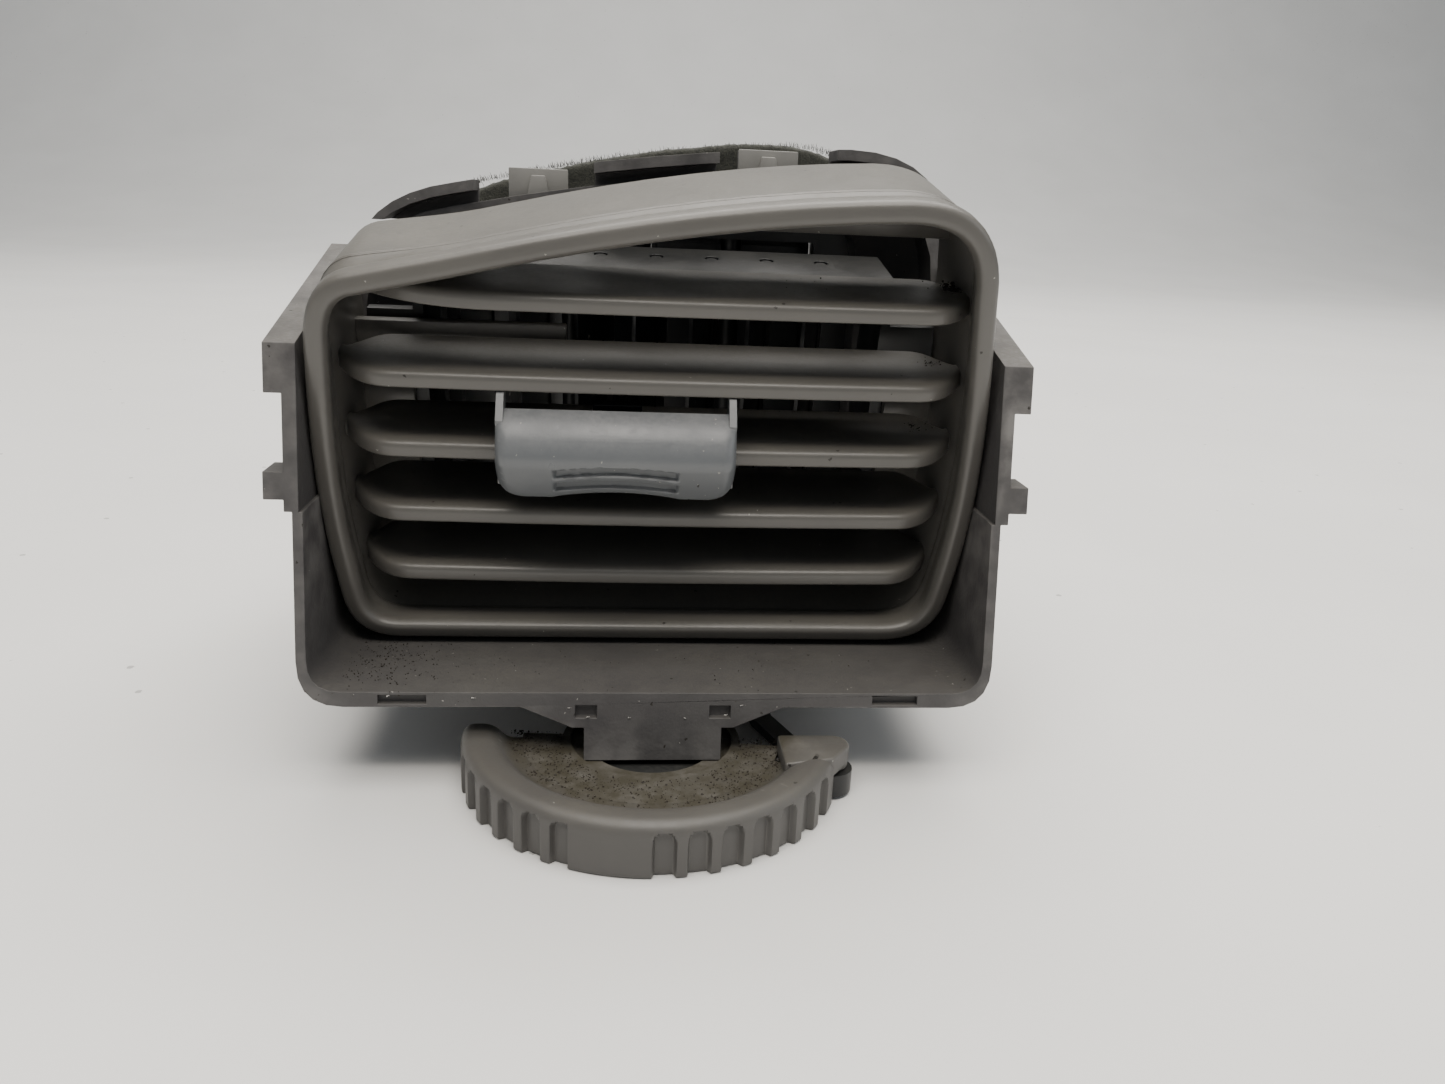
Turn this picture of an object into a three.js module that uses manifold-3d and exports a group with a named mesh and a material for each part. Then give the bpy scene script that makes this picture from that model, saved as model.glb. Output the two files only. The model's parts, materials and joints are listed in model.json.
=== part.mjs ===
// Tilting-barrel air vent for a vehicle dashboard. Millimetres, +Z up, front faces -Y, +X to the right.
// A tub-shaped housing carries a louvred drum that tilts on two trunnions, a duct with a twin-blade
// damper behind it, and a ribbed thumbwheel underneath that turns the blades through a link rod.
import * as THREE from 'three';
import { mergeVertices } from 'three/addons/utils/BufferGeometryUtils.js';
import Module from 'manifold-3d';

const wasm = await Module();
wasm.setup();

// Clearances
const fitGap = 0.3; // between pieces that touch
const runGap = 0.6; // around pins that run in an open pivot

// Drum: a louvred box that tilts about its trunnions; its own frame has the trunnion axis at 0, 0
const drumHalfWidth = 52.8;
const drumWall = 2;
const bezelDrop = 36; // trunnion axis down to the bottom lip
const bezelRise = 41.2; // trunnion axis up to the highest point of the lip
const bezelFall = 14.4; // how much lower the left end of the top edge is
const bezelCorner = 13;
const lipWidth = 3.2;
const lipDepth = 3;
const faceReach = 24; // trunnion axis forward to the bezel face
const drumBack = 6; // trunnion axis back to the open rear of the drum
const restTilt = 12; // degrees, face turned down
const trunnionRadius = 4;
const fillerEdge = -15.5; // right end of the plate that closes the drum's upper left
const fillerLow = 7.6;
const fillerHigh = 12.7;
const fillerFront = -0.6;
const fillerBack = 1.4;
const browLow = 30.6; // lower edge of the plate under the highest part of the top wall
const browStart = 8;
const browFront = -2;

// Horizontal vanes, fixed in the drum
const vaneHeights = [23.2, 10.4, -1.4, -13, -24.2];
const vaneThickness = 2.2;
const vaneFront = -22.2;
const vaneChord = 20;
const vaneEndSweep = 13;
const vaneStubRadius = 1.2;
const vaneStubSet = 9; // stub axis behind the front edge
const topVaneShort = 7; // the top vane stops this far short of the left wall

// Sliding knob and the vertical vanes that it steers
const knobWidth = 37.6;
const knobHeight = 14.4;
const knobDepth = 3.6;
const knobCentreX = -6.5;
const clipWidth = 20;
const clipPlate = 1.2;
const steerPinY = -6;
const uprightPivotY = 14;
const uprightCount = 7;
const uprightPitch = 10;
const uprightFront = 2;
const uprightBack = 21;
const uprightThickness = 1.4;
const steerRate = 0.0515; // radians of vane turn for each mm of knob travel
const frameHalfWidth = 41.8;
const frameWall = 1.8;
const frameSetLow = 5; // frame's bottom above the bezel's lower edge
const frameSetHigh = 5.3; // frame's top below the low end of the bezel's top edge
const frameLow = frameSetLow - bezelDrop;
const frameHigh = bezelRise - bezelFall - frameSetHigh;
const linkBarOffset = 6; // behind the vane pivots

// Housing tub
const sideGap = 1.5; // drum to the upper side wall
const lowerGap = 0.9; // drum to the lower side wall
const sideWall = 2.2;
const lowerWall = 1.6;
const floorBottom = 14.1;
const floorThickness = 2.4;
const stepHeight = 44;
const tubCorner = 7;
const tubDepth = 56;
const rimLean = 10; // degrees, top of the rim leans back
const railFront = 68.9;
const railSlope = 0.28;
const railHeight = 7;
const railWidth = 2.6;
const pivotY = 38;
const pivotZ = 57.8;
const bushWall = 1.9;
const bushRadius = trunnionRadius + fitGap + bushWall;

// Chin and wheel pivot under the tub
const chinTop = 21;
const chinBottom = 12.9;
const chinLow = 10.8;
const chinDepth = 16;
const wheelY = 7.7;
const blockWidth = 22;
const blockLow = 5.5;
const bossRadius = 4;

// Thumbwheel
const wheelRadius = 31;
const wheelHeight = 8.7;
const rimWidth = 6.5;
const rimInner = wheelRadius - rimWidth;
const webTop = 6.2;
const webThickness = 2.2;
const wellRadius = 13.3;
const wellWall = 1.4;
const hubLow = 2.7;
const hubThickness = 2;
const rimStart = -180; // degrees round the wheel axis
const rimEnd = -22;
const ribPitch = 9.4;
const grooveWidth = 3.2;
const grooveDepth = 1;
const grooveTop = 6.9;
const blankAngle = -105; // middle of the smooth pad
const blankSpan = 14;
const earInset = 1.04; // ear's pin inside the rim's outer edge
const earRadius = wheelRadius - earInset;
const earAngle = -12.9;

// Rear housing: barrel, duct and damper
const barrelDepth = 9;
const taperDepth = 11;
const ductDepth = 28;
const ductWall = 2;
const barrelEnd = tubDepth + barrelDepth;
const ductStart = barrelEnd + taperDepth;
const ductEnd = ductStart + ductDepth;
const hoodTop = 97.8;
const hoodFall = 9;
const ductHalfWidth = 45;
const ductFloor = 17;
const hookLift = 4;
const hookSpans = [[-52, -33.2], [-11.5, 11.3], [33.1, 52]]; // from, to along X
const legFoot = 40;
const snapArm = 1.6;
const damperSet = 10; // blade shafts behind the duct's start
const damperY = ductStart + damperSet;
const bladeHalf = 16.4;
const bladeSpacing = 34;
const bladeThickness = 1.6;
const bladeRest = 6; // degrees from +X at rest, nearly shut
const windowLow = 25;
const windowHigh = 84;
const windowMargin = 1;
const shaftRadius = 2.4;
const foamThickness = 6;
const foamWidth = 13;
const foamSet = 1.4; // bare duct behind the foam
const foamEnd = ductEnd - foamSet;
const foamStart = foamEnd - foamWidth;
const linkArmLow = 4.8;
const tieArmLow = 6.7;
const armThickness = 1.6;
const socketTop = 10.6;
const tieArm = 12;
const tiePinRadius = 1.3;

// Link rod
const rodLow = 0.6;
const rodThickness = 1.6;
const eyeTop = 4.4;
const eyeRadius = 3.5;
const linkPinRadius = 1.5;

const radians = THREE.MathUtils.degToRad;
const tubInner = drumHalfWidth + sideGap;
const tubHalfWidth = tubInner + sideWall;
const lowInner = drumHalfWidth + lowerGap;
const lowHalfWidth = lowInner + lowerWall;
const barrelHalfWidth = lowHalfWidth + 0.2;
const wheelCentre = new THREE.Vector2(0, wheelY);
const earOffset = new THREE.Vector2(earRadius, 0).rotateAround(new THREE.Vector2(), radians(earAngle));

function plastic(color, roughness = 0.55) {
  return new THREE.MeshStandardMaterial({ color, roughness, metalness: 0 });
}
const housingGrey = plastic(0x5f5c5d);
const bezelGrey = plastic(0x6f6c68, 0.45);
const knobGrey = plastic(0x808690, 0.5);
const black = plastic(0x15171a, 0.4);
const foamOlive = plastic(0x2c2f26, 0.95);
const steel = new THREE.MeshStandardMaterial({ color: 0xa8aaad, roughness: 0.35, metalness: 0.9 });
const naturalNylon = plastic(0xb9b7ae, 0.5);

// ---- helpers -------------------------------------------------------------------------------------

function solidOf(geometry) {
  const bare = geometry.clone();
  bare.deleteAttribute('normal');
  bare.deleteAttribute('uv');
  const merged = mergeVertices(bare, 1e-4);
  const triVerts = Uint32Array.from(merged.index.array);
  const vertProperties = Float32Array.from(merged.attributes.position.array);
  return new wasm.Manifold(new wasm.Mesh({ numProp: 3, vertProperties, triVerts }));
}

function geometryOf(solid) {
  const mesh = solid.getMesh();
  const geometry = new THREE.BufferGeometry();
  geometry.setAttribute('position', new THREE.BufferAttribute(Float32Array.from(mesh.vertProperties), 3));
  geometry.setIndex(Array.from(mesh.triVerts));
  geometry.computeVertexNormals();
  return geometry;
}

// A span along X given for the right-hand side, or its mirror image
function sided(side, near, far) {
  return side > 0 ? [near, far] : [-far, -near];
}

const joined = (first, ...others) => others.reduce((sum, piece) => sum.add(piece), first);
const cutFrom = (first, ...others) => others.reduce((rest, piece) => rest.subtract(piece), first);

function polygon(points) {
  return new THREE.Shape(points.map(([u, v]) => new THREE.Vector2(u, v)));
}

function extrusion(shape, depth, curveSegments) {
  return new THREE.ExtrudeGeometry(shape, { depth, bevelEnabled: false, curveSegments });
}

// Prisms along each axis: the shape lies in the plane of the other two axes
const alongZ = (shape, z0, z1, fine = 8) => solidOf(extrusion(shape, z1 - z0, fine).translate(0, 0, z0));

function alongY(shape, y0, y1, fine = 8) {
  return solidOf(extrusion(shape, y1 - y0, fine).rotateX(Math.PI / 2).translate(0, y1, 0));
}

function alongX(shape, x0, x1, fine = 8) {
  const turn = new THREE.Matrix4().makeBasis(
    new THREE.Vector3(0, 1, 0), new THREE.Vector3(0, 0, 1), new THREE.Vector3(1, 0, 0));
  return solidOf(extrusion(shape, x1 - x0, fine).applyMatrix4(turn).translate(x0, 0, 0));
}

function block(x0, x1, y0, y1, z0, z1) {
  const box = new THREE.BoxGeometry(x1 - x0, y1 - y0, z1 - z0);
  return solidOf(box.translate((x0 + x1) / 2, (y0 + y1) / 2, (z0 + z1) / 2));
}

function postZ(x, y, radius, z0, z1, sides = 20) {
  const post = new THREE.CylinderGeometry(radius, radius, z1 - z0, sides).rotateX(Math.PI / 2);
  return solidOf(post.translate(x, y, (z0 + z1) / 2));
}

function pinX(y, z, radius, x0, x1, sides = 20) {
  const pin = new THREE.CylinderGeometry(radius, radius, x1 - x0, sides).rotateZ(-Math.PI / 2);
  return solidOf(pin.translate((x0 + x1) / 2, y, z));
}

// Closed body through equally divided outlines that stand at given places along Y
function loftY(shapes, places, fine = 6) {
  // an outline repeats its first point at the end, which the ring leaves out
  const rings = shapes.map((shape) => shape.getPoints(fine).slice(0, -1));
  const count = rings[0].length;
  const faces = THREE.ShapeUtils.triangulateShape(rings[0], []);
  const positions = rings.flatMap((ring, i) => ring.flatMap((p) => [p.x, places[i], p.y]));
  const index = [];
  for (let ring = 0; ring + 1 < rings.length; ring++) {
    for (let i = 0; i < count; i++) {
      const a = ring * count + i;
      const b = ring * count + ((i + 1) % count);
      index.push(a, b, b + count, a, b + count, a + count);
    }
  }
  const last = (rings.length - 1) * count;
  for (const [a, b, c] of faces) {
    index.push(a, c, b);
    index.push(last + a, last + b, last + c);
  }
  const inward = THREE.ShapeUtils.isClockWise(rings[0]) === false;
  if (inward) {
    for (let i = 0; i < index.length; i += 3) [index[i + 1], index[i + 2]] = [index[i + 2], index[i + 1]];
  }
  const geometry = new THREE.BufferGeometry();
  geometry.setAttribute('position', new THREE.Float32BufferAttribute(positions, 3));
  geometry.setIndex(index);
  return solidOf(geometry);
}

function sector(centre, inner, outer, start, end) {
  const shape = new THREE.Shape();
  shape.absarc(centre.x, centre.y, outer, radians(start), radians(end), false);
  shape.absarc(centre.x, centre.y, inner, radians(end), radians(start), true);
  return shape;
}

// Flat bar with round ends between two points
function bar(from, to, halfWidth) {
  const heading = to.clone().sub(from).angle();
  const shape = new THREE.Shape();
  shape.absarc(to.x, to.y, halfWidth, heading - Math.PI / 2, heading + Math.PI / 2, false);
  shape.absarc(from.x, from.y, halfWidth, heading + Math.PI / 2, heading + 1.5 * Math.PI, false);
  return shape;
}

function piece(name, solid, material, parent) {
  const mesh = new THREE.Mesh(geometryOf(solid), material);
  mesh.name = name;
  parent.add(mesh);
  return mesh;
}

// ---- outlines ------------------------------------------------------------------------------------

// Bezel seen from the front: upright sides that belly a little, a top edge that climbs to the right
function bezelOutline(inset) {
  const side = drumHalfWidth - inset;
  const tuck = side - 1.6;
  const low = inset - bezelDrop;
  const high = bezelRise - inset;
  const shoulder = high - bezelFall;
  const shape = new THREE.Shape();
  shape.moveTo(-side + bezelCorner - 2, low);
  shape.lineTo(side - bezelCorner, low);
  shape.quadraticCurveTo(side - 2.6, low, tuck, low + bezelCorner - 3);
  shape.bezierCurveTo(side + 0.5, low + 24, side + 0.5, high - 32, tuck, high - bezelCorner - 2);
  shape.quadraticCurveTo(side - 2.2, high + 0.3, side - bezelCorner - 4, high);
  shape.quadraticCurveTo(side - drumHalfWidth, high - 1.5, -side + 9, shoulder);
  shape.quadraticCurveTo(-side + 1.8, shoulder - 1.3, -side + 1, shoulder - bezelCorner + 2);
  shape.bezierCurveTo(-side - 0.4, shoulder - 24, -side - 0.4, low + 24, -tuck, low + bezelCorner - 3);
  shape.quadraticCurveTo(-side + 2.2, low, -side + bezelCorner - 2, low);
  return shape;
}

// Barrel and duct seen from the front: the same climbing top edge over a square base
function ductOutline(halfWidth, low, top) {
  const shape = new THREE.Shape();
  shape.moveTo(-halfWidth + 8, low);
  shape.lineTo(halfWidth - 8, low);
  shape.quadraticCurveTo(halfWidth, low, halfWidth, low + 8);
  shape.lineTo(halfWidth, top - 18);
  shape.quadraticCurveTo(halfWidth - 0.5, top, halfWidth - 20, top);
  shape.quadraticCurveTo(0, top - 1.2, -halfWidth + 19, top - hoodFall);
  shape.quadraticCurveTo(-halfWidth + 1, top - hoodFall - 3, -halfWidth, top - hoodFall - 17);
  shape.lineTo(-halfWidth, low + 8);
  shape.quadraticCurveTo(-halfWidth, low, -halfWidth + 8, low);
  return shape;
}

function tubOutline(upper, lower, low, corner, top) {
  const shape = new THREE.Shape();
  shape.moveTo(-lower + corner, low);
  shape.lineTo(lower - corner, low);
  shape.quadraticCurveTo(lower, low, lower, low + corner);
  shape.lineTo(lower, stepHeight);
  shape.lineTo(upper, stepHeight);
  shape.lineTo(upper, top);
  shape.lineTo(-upper, top);
  shape.lineTo(-upper, stepHeight);
  shape.lineTo(-lower, stepHeight);
  shape.lineTo(-lower, low + corner);
  shape.quadraticCurveTo(-lower, low, -lower + corner, low);
  return shape;
}

// ---- housing -------------------------------------------------------------------------------------

const railTop = (y) => railFront + railSlope * (y - railFront * Math.tan(radians(rimLean)));
const rimPlane = (z) => z * Math.tan(radians(rimLean));

function frontHousing() {
  const far = tubHalfWidth + 40;
  const sky = 130;
  const outside = tubOutline(tubHalfWidth, lowHalfWidth, floorBottom, tubCorner, sky);
  const inside = tubOutline(tubInner, lowInner, floorBottom + floorThickness, tubCorner - 2, sky + 1);
  const shell = cutFrom(alongY(outside, 0, tubDepth, 5), alongY(inside, -1, tubDepth + 1, 5));
  const rail = polygon([[0, railTop(0) - railHeight], [tubDepth, railTop(tubDepth) - railHeight],
    [tubDepth, railTop(tubDepth)], [0, railTop(0)]]);
  const nub = polygon([[0, 45.8], [17, 45.8], [15, 50], [0, 50]]);
  const chin = polygon([[-chinTop, floorBottom + 0.5], [-chinTop, floorBottom], [-chinBottom, chinLow],
    [chinBottom, chinLow], [chinTop, floorBottom], [chinTop, floorBottom + 0.5]]);
  const added = [
    alongX(rail, tubHalfWidth - 0.2, tubHalfWidth + railWidth),
    alongX(rail, -tubHalfWidth - railWidth, -tubHalfWidth + 0.2),
    alongX(nub, tubHalfWidth - 0.2, tubHalfWidth + railWidth + 0.4),
    alongX(nub, -tubHalfWidth - railWidth - 0.4, -tubHalfWidth + 0.2),
    alongY(chin, 0, chinDepth),
    block(-blockWidth / 2, blockWidth / 2, 0, wheelY + 5, blockLow, chinLow + 0.5),
    postZ(0, wheelY, bossRadius, hubLow + fitGap, blockLow + 0.5),
  ];
  const above = polygon([[-20, railTop(-20)], [tubDepth + 9, railTop(tubDepth + 9)],
    [tubDepth + 9, sky + 9], [-20, sky + 9]]);
  const ahead = polygon([[-60, -9], [rimPlane(-9), -9], [rimPlane(sky + 9), sky + 9], [-60, sky + 9]]);
  const rimAt = (z) => rimPlane(z) - 1;
  const removed = [
    alongX(above, -far, far),
    alongX(ahead, -far, far),
    pinX(pivotY, pivotZ, bushRadius + fitGap, -far, far, 24),
    postZ(0, wheelY, 1.8, 0, 9.6, 12),
    block(-43, -35.6, rimAt(15.3), rimAt(15.3) + 2, 14.6, 16),
    block(35.6, 43, rimAt(15.3), rimAt(15.3) + 2, 14.6, 16),
    block(-12.4, -9, rimAt(12.8), rimAt(12.8) + 2, 12.4, 14.4),
    block(9, 12.4, rimAt(12.8), rimAt(12.8) + 2, 12.4, 14.4),
  ];
  return cutFrom(joined(shell, ...added), ...removed);
}

function rearHousing() {
  const start = tubDepth + fitGap;
  const outer = loftY([ductOutline(barrelHalfWidth, floorBottom, hoodTop),
    ductOutline(barrelHalfWidth, floorBottom, hoodTop), ductOutline(ductHalfWidth, ductFloor, hoodTop),
    ductOutline(ductHalfWidth, ductFloor, hoodTop)], [start, barrelEnd, ductStart, ductEnd]);
  const inset = (half, low) => ductOutline(half - ductWall, low + ductWall, hoodTop - ductWall);
  const inner = loftY([inset(barrelHalfWidth, floorBottom), inset(barrelHalfWidth, floorBottom),
    inset(ductHalfWidth, ductFloor), inset(ductHalfWidth, ductFloor)],
  [start - 1, barrelEnd, ductStart, ductEnd + 1]);
  let shell = cutFrom(outer, inner);

  // Hooks along the top front edge: a web behind, a lip reaching forward, black gap between
  const hookTop = (lift) => ductOutline(barrelHalfWidth, floorBottom, hoodTop + lift);
  const lip = cutFrom(alongY(hookTop(hookLift), start - 2, barrelEnd - 1),
    alongY(hookTop(hookLift - 1.9), start - 3, barrelEnd));
  const web = cutFrom(alongY(hookTop(hookLift), barrelEnd - 3, barrelEnd - 1),
    alongY(hookTop(-0.6), barrelEnd - 4, barrelEnd));
  const hooks = joined(lip, web);
  for (const [from, to] of hookSpans) {
    const span = block(from, to, start - 4, barrelEnd, hoodTop - hoodFall - 3, hoodTop + 9);
    shell = shell.add(hooks.intersect(span));
  }
  // Two snap tongues between the hooks
  for (const [from, to, top] of [[-27.3, -16.5, hoodTop - 2], [15.3, 26.5, hoodTop + 3.2]]) {
    shell = shell.add(block(from, to, start + 4, start + 6, hoodTop - hoodFall - 1, top));
  }
  const inside = loftY([inset(barrelHalfWidth, floorBottom), inset(barrelHalfWidth, floorBottom)],
    [start - 1, barrelEnd]);
  shell = shell.subtract(inside);

  // Side snap arms that reach forward over the tub
  for (const side of [-1, 1]) {
    const armFace = lowHalfWidth + fitGap + snapArm;
    const reach = sided(side, lowHalfWidth + fitGap, armFace);
    const root = sided(side, barrelHalfWidth - 1, armFace);
    for (const z of [20, 34]) {
      shell = shell.add(block(...reach, start - 12, start + 5, z, z + 7));
      shell = shell.add(block(...root, start + 1, start + 5, z, z + 7));
    }
    const foot = [legFoot * side - 1.5, legFoot * side + 1.5];
    const leg = polygon([[ductStart - 4, 0], [ductStart + 8, 0], [ductStart + 11, ductFloor + 0.5],
      [ductStart - 7, ductFloor + 0.5]]);
    shell = shell.add(alongX(leg, ...foot));
  }
  for (const x of [-bladeSpacing / 2, bladeSpacing / 2]) {
    shell = shell.subtract(postZ(x, damperY, shaftRadius + fitGap, 0, windowLow, 16));
  }
  return shell;
}

function foamSeal() {
  const around = (grow) => ductOutline(ductHalfWidth + grow, ductFloor - grow, hoodTop + grow);
  return cutFrom(alongY(around(foamThickness), foamStart, foamEnd),
    alongY(around(fitGap), foamStart - 1, foamEnd + 1));
}

function damperFrame() {
  const shrink = ductWall + fitGap;
  const plate = alongY(ductOutline(ductHalfWidth - shrink, ductFloor + shrink, hoodTop - shrink),
    damperY - 4, damperY + 4);
  const half = bladeSpacing / 2 + bladeHalf + windowMargin;
  let frame = plate.subtract(block(-half, half, damperY - 9, damperY + 9, windowLow, windowHigh));
  for (const x of [-bladeSpacing / 2, bladeSpacing / 2]) {
    frame = frame.subtract(postZ(x, damperY, shaftRadius + fitGap, 0, windowHigh + 4, 16));
  }
  return frame;
}

function pivotBush(side) {
  const ends = sided(side, tubInner, tubHalfWidth + 0.6);
  return cutFrom(pinX(pivotY, pivotZ, bushRadius, ...ends, 24),
    pinX(pivotY, pivotZ, trunnionRadius + fitGap, -99, 99, 24));
}

// ---- drum ----------------------------------------------------------------------------------------

function drumShell() {
  const hollow = alongY(bezelOutline(drumWall), lipDepth - faceReach, drumBack + 1);
  const mouth = alongY(bezelOutline(lipWidth), -faceReach - 1, lipDepth - faceReach + 1);
  const shell = cutFrom(alongY(bezelOutline(0), -faceReach, drumBack), hollow, mouth);
  const tip = drumHalfWidth + sideGap + sideWall - fitGap;
  const boss = joined(pinX(0, 0, trunnionRadius, drumHalfWidth - 1, tip),
    pinX(0, 0, trunnionRadius, -tip, -drumHalfWidth + 1));
  const stubY = vaneFront + vaneStubSet;
  const stubHoles = vaneHeights.map((z) => pinX(stubY, z, vaneStubRadius + fitGap, -99, 99, 10));
  // ledges that the vane frame sits against
  const ledges = [-1, 1].map((side) => {
    const x = sided(side, frameHalfWidth + fitGap, drumHalfWidth - drumWall + 0.2);
    return block(...x, 1, 3, frameLow + 8, frameHigh - 8);
  });
  // plates that close the corners around the square pack of vertical vanes
  const side = drumHalfWidth - drumWall + 0.2;
  const plates = joined(block(-side, fillerEdge, fillerFront, fillerBack, fillerLow, fillerHigh),
    block(browStart, side, browFront, browFront + drumWall, browLow, bezelRise))
    .intersect(alongY(bezelOutline(drumWall / 2), -faceReach, drumBack));
  return cutFrom(joined(shell, boss, ...ledges, plates), ...stubHoles);
}

// How far the side of the opening stands from the middle at a given height
function openingHalfWidth(z) {
  const fromMiddle = Math.abs(z - (bezelRise - bezelDrop) / 2) / 38;
  return drumHalfWidth - drumWall - 3 * fromMiddle ** 4;
}

function horizontalVane(z, leftStop) {
  const right = openingHalfWidth(z) - 0.5;
  const left = -right + leftStop;
  const back = vaneFront + vaneChord;
  const plan = new THREE.Shape();
  plan.moveTo(left + 2, back);
  plan.quadraticCurveTo(left, back, left, back - 3);
  plan.lineTo(left, vaneFront + vaneStubSet + 1);
  plan.quadraticCurveTo(left + 1, vaneFront + 1.2, left + vaneEndSweep, vaneFront + 0.8);
  plan.quadraticCurveTo(0, vaneFront - 0.8, right - vaneEndSweep, vaneFront + 0.8);
  plan.quadraticCurveTo(right - 1, vaneFront + 1.2, right, vaneFront + vaneStubSet + 1);
  plan.lineTo(right, back - 3);
  plan.quadraticCurveTo(right, back, right - 2, back);
  const room = alongY(bezelOutline(lipWidth + fitGap), vaneFront - 2, back + 1);
  const blade = alongZ(plan, z - vaneThickness / 2, z + vaneThickness / 2, 6).intersect(room);
  const stub = drumHalfWidth - 0.9;
  const start = leftStop > 0 ? left + 3 : -stub;
  return blade.add(pinX(vaneFront + vaneStubSet, z, vaneStubRadius, start, stub, 10));
}

function uprightX(i) {
  return (i - (uprightCount - 1) / 2) * uprightPitch;
}

function vaneFrame() {
  const inner = frameHalfWidth - frameWall;
  const frame = cutFrom(
    block(-frameHalfWidth, frameHalfWidth, 3 + fitGap, uprightBack - 1, frameLow, frameHigh),
    block(-inner, inner, 2, uprightBack, frameLow + frameWall, frameHigh - frameWall));
  const holes = Array.from({ length: uprightCount }, (_, i) =>
    postZ(uprightX(i), uprightPivotY, 1 + fitGap, frameLow - 1, frameHigh + 1, 10));
  // wings that reach the drum walls on both sides
  const wings = [-1, 1].map((side) => {
    const x = sided(side, frameHalfWidth - 0.5, drumHalfWidth - drumWall - fitGap);
    return block(...x, 3 + fitGap, 5.3, frameLow + 8, frameHigh - 8);
  });
  const room = alongY(bezelOutline(drumWall + fitGap), 0, uprightBack + 1);
  return cutFrom(joined(frame, ...wings).intersect(room), ...holes);
}

function uprightVane(carriesPin) {
  const low = frameLow + frameWall + 1;
  const high = frameHigh - frameWall - 1;
  const half = uprightThickness / 2;
  const nose = uprightFront - uprightPivotY;
  const tail = uprightBack - uprightPivotY;
  const plan = polygon([[-half * 0.5, nose], [half * 0.5, nose], [half, -3], [half, 3],
    [half * 0.5, tail], [-half * 0.5, tail], [-half, 3], [-half, -3]]);
  const parts = [postZ(0, 0, 1, frameLow + 0.2, frameHigh - 0.2, 10)];
  parts.push(postZ(0, linkBarOffset, 0.8, low - 0.2, low + 3.4, 8));
  if (carriesPin) {
    const pinHeight = vaneHeights[2] + vaneThickness / 2 + fitGap;
    const reach = steerPinY - uprightPivotY;
    parts.push(block(-0.9, 0.9, reach, uprightFront - uprightPivotY + 1, pinHeight + 0.4, pinHeight + 3.4));
    parts.push(postZ(0, reach, 1, pinHeight + 0.4, pinHeight + 6, 10));
  }
  // notch that the link bar runs through
  const notch = block(-2, 2, linkBarOffset - 3.2, uprightBack, low - 1, low + 2.2);
  return joined(cutFrom(alongZ(plan, low, high), notch), ...parts);
}

function linkBar() {
  const low = frameLow + frameWall + 1;
  const reach = uprightX(uprightCount - 1);
  const strip = bar(new THREE.Vector2(-reach, 0), new THREE.Vector2(reach, 0), 1.7);
  const holes = Array.from({ length: uprightCount }, (_, i) =>
    postZ(uprightX(i), 0, 0.8 + fitGap, low - 1, low + 4, 10));
  return cutFrom(alongZ(strip, low + 0.3, low + 1.6, 4), ...holes);
}

function slideKnob(vaneZ) {
  const half = knobWidth / 2;
  const top = vaneZ + knobHeight * 0.66;
  const low = top - knobHeight;
  const face = new THREE.Shape();
  face.moveTo(-half + 3, low + 0.2);
  face.lineTo(-half / 2 - 1, low);
  face.quadraticCurveTo(0, low + 2.2, half / 2 + 1, low);
  face.lineTo(half - 3, low + 0.2);
  face.quadraticCurveTo(half, low + 0.4, half, low + 4);
  face.lineTo(half, top - 1);
  face.quadraticCurveTo(half, top, half - 1, top);
  face.lineTo(-half + 1, top);
  face.quadraticCurveTo(-half, top, -half, top - 1);
  face.lineTo(-half, low + 4);
  face.quadraticCurveTo(-half, low + 0.4, -half + 3, low + 0.2);
  const back = vaneFront - 2.2;
  return alongY(face, back - knobDepth, back, 6);
}

function knobClip(vaneZ) {
  const half = clipWidth / 2;
  const front = vaneFront - 2.2 + fitGap;
  const over = vaneZ + vaneThickness / 2 + fitGap;
  const under = vaneZ - vaneThickness / 2 - fitGap;
  const yoke = joined(
    block(-half, half, front, vaneFront - 0.6 - fitGap, under - clipPlate, over + clipPlate),
    block(-half, half, front, vaneFront + vaneChord / 2, over, over + clipPlate),
    block(-half, half, front, vaneFront + vaneChord / 2, under - clipPlate, under));
  // fork that straddles the steering pin
  const gap = 1 + runGap + 0.1;
  const forkTop = over + 5.8;
  const riserBack = vaneFront + vaneChord / 2 - 4;
  const prongs = [-1, 1].map((side) =>
    block(...sided(side, gap, gap + 1.8), riserBack - 1, steerPinY + 5.4, forkTop - 1.4, forkTop));
  const riser = block(-4, 4, riserBack - 2, riserBack, over, forkTop);
  return joined(yoke, riser, ...prongs);
}

function frictionRing(side) {
  const ends = sided(side, drumHalfWidth + 0.2, tubInner - 0.2);
  return cutFrom(pinX(0, 0, trunnionRadius + 2, ...ends, 20), pinX(0, 0, trunnionRadius + 0.15, -99, 99, 20));
}

// ---- thumbwheel and damper drive -----------------------------------------------------------------

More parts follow.
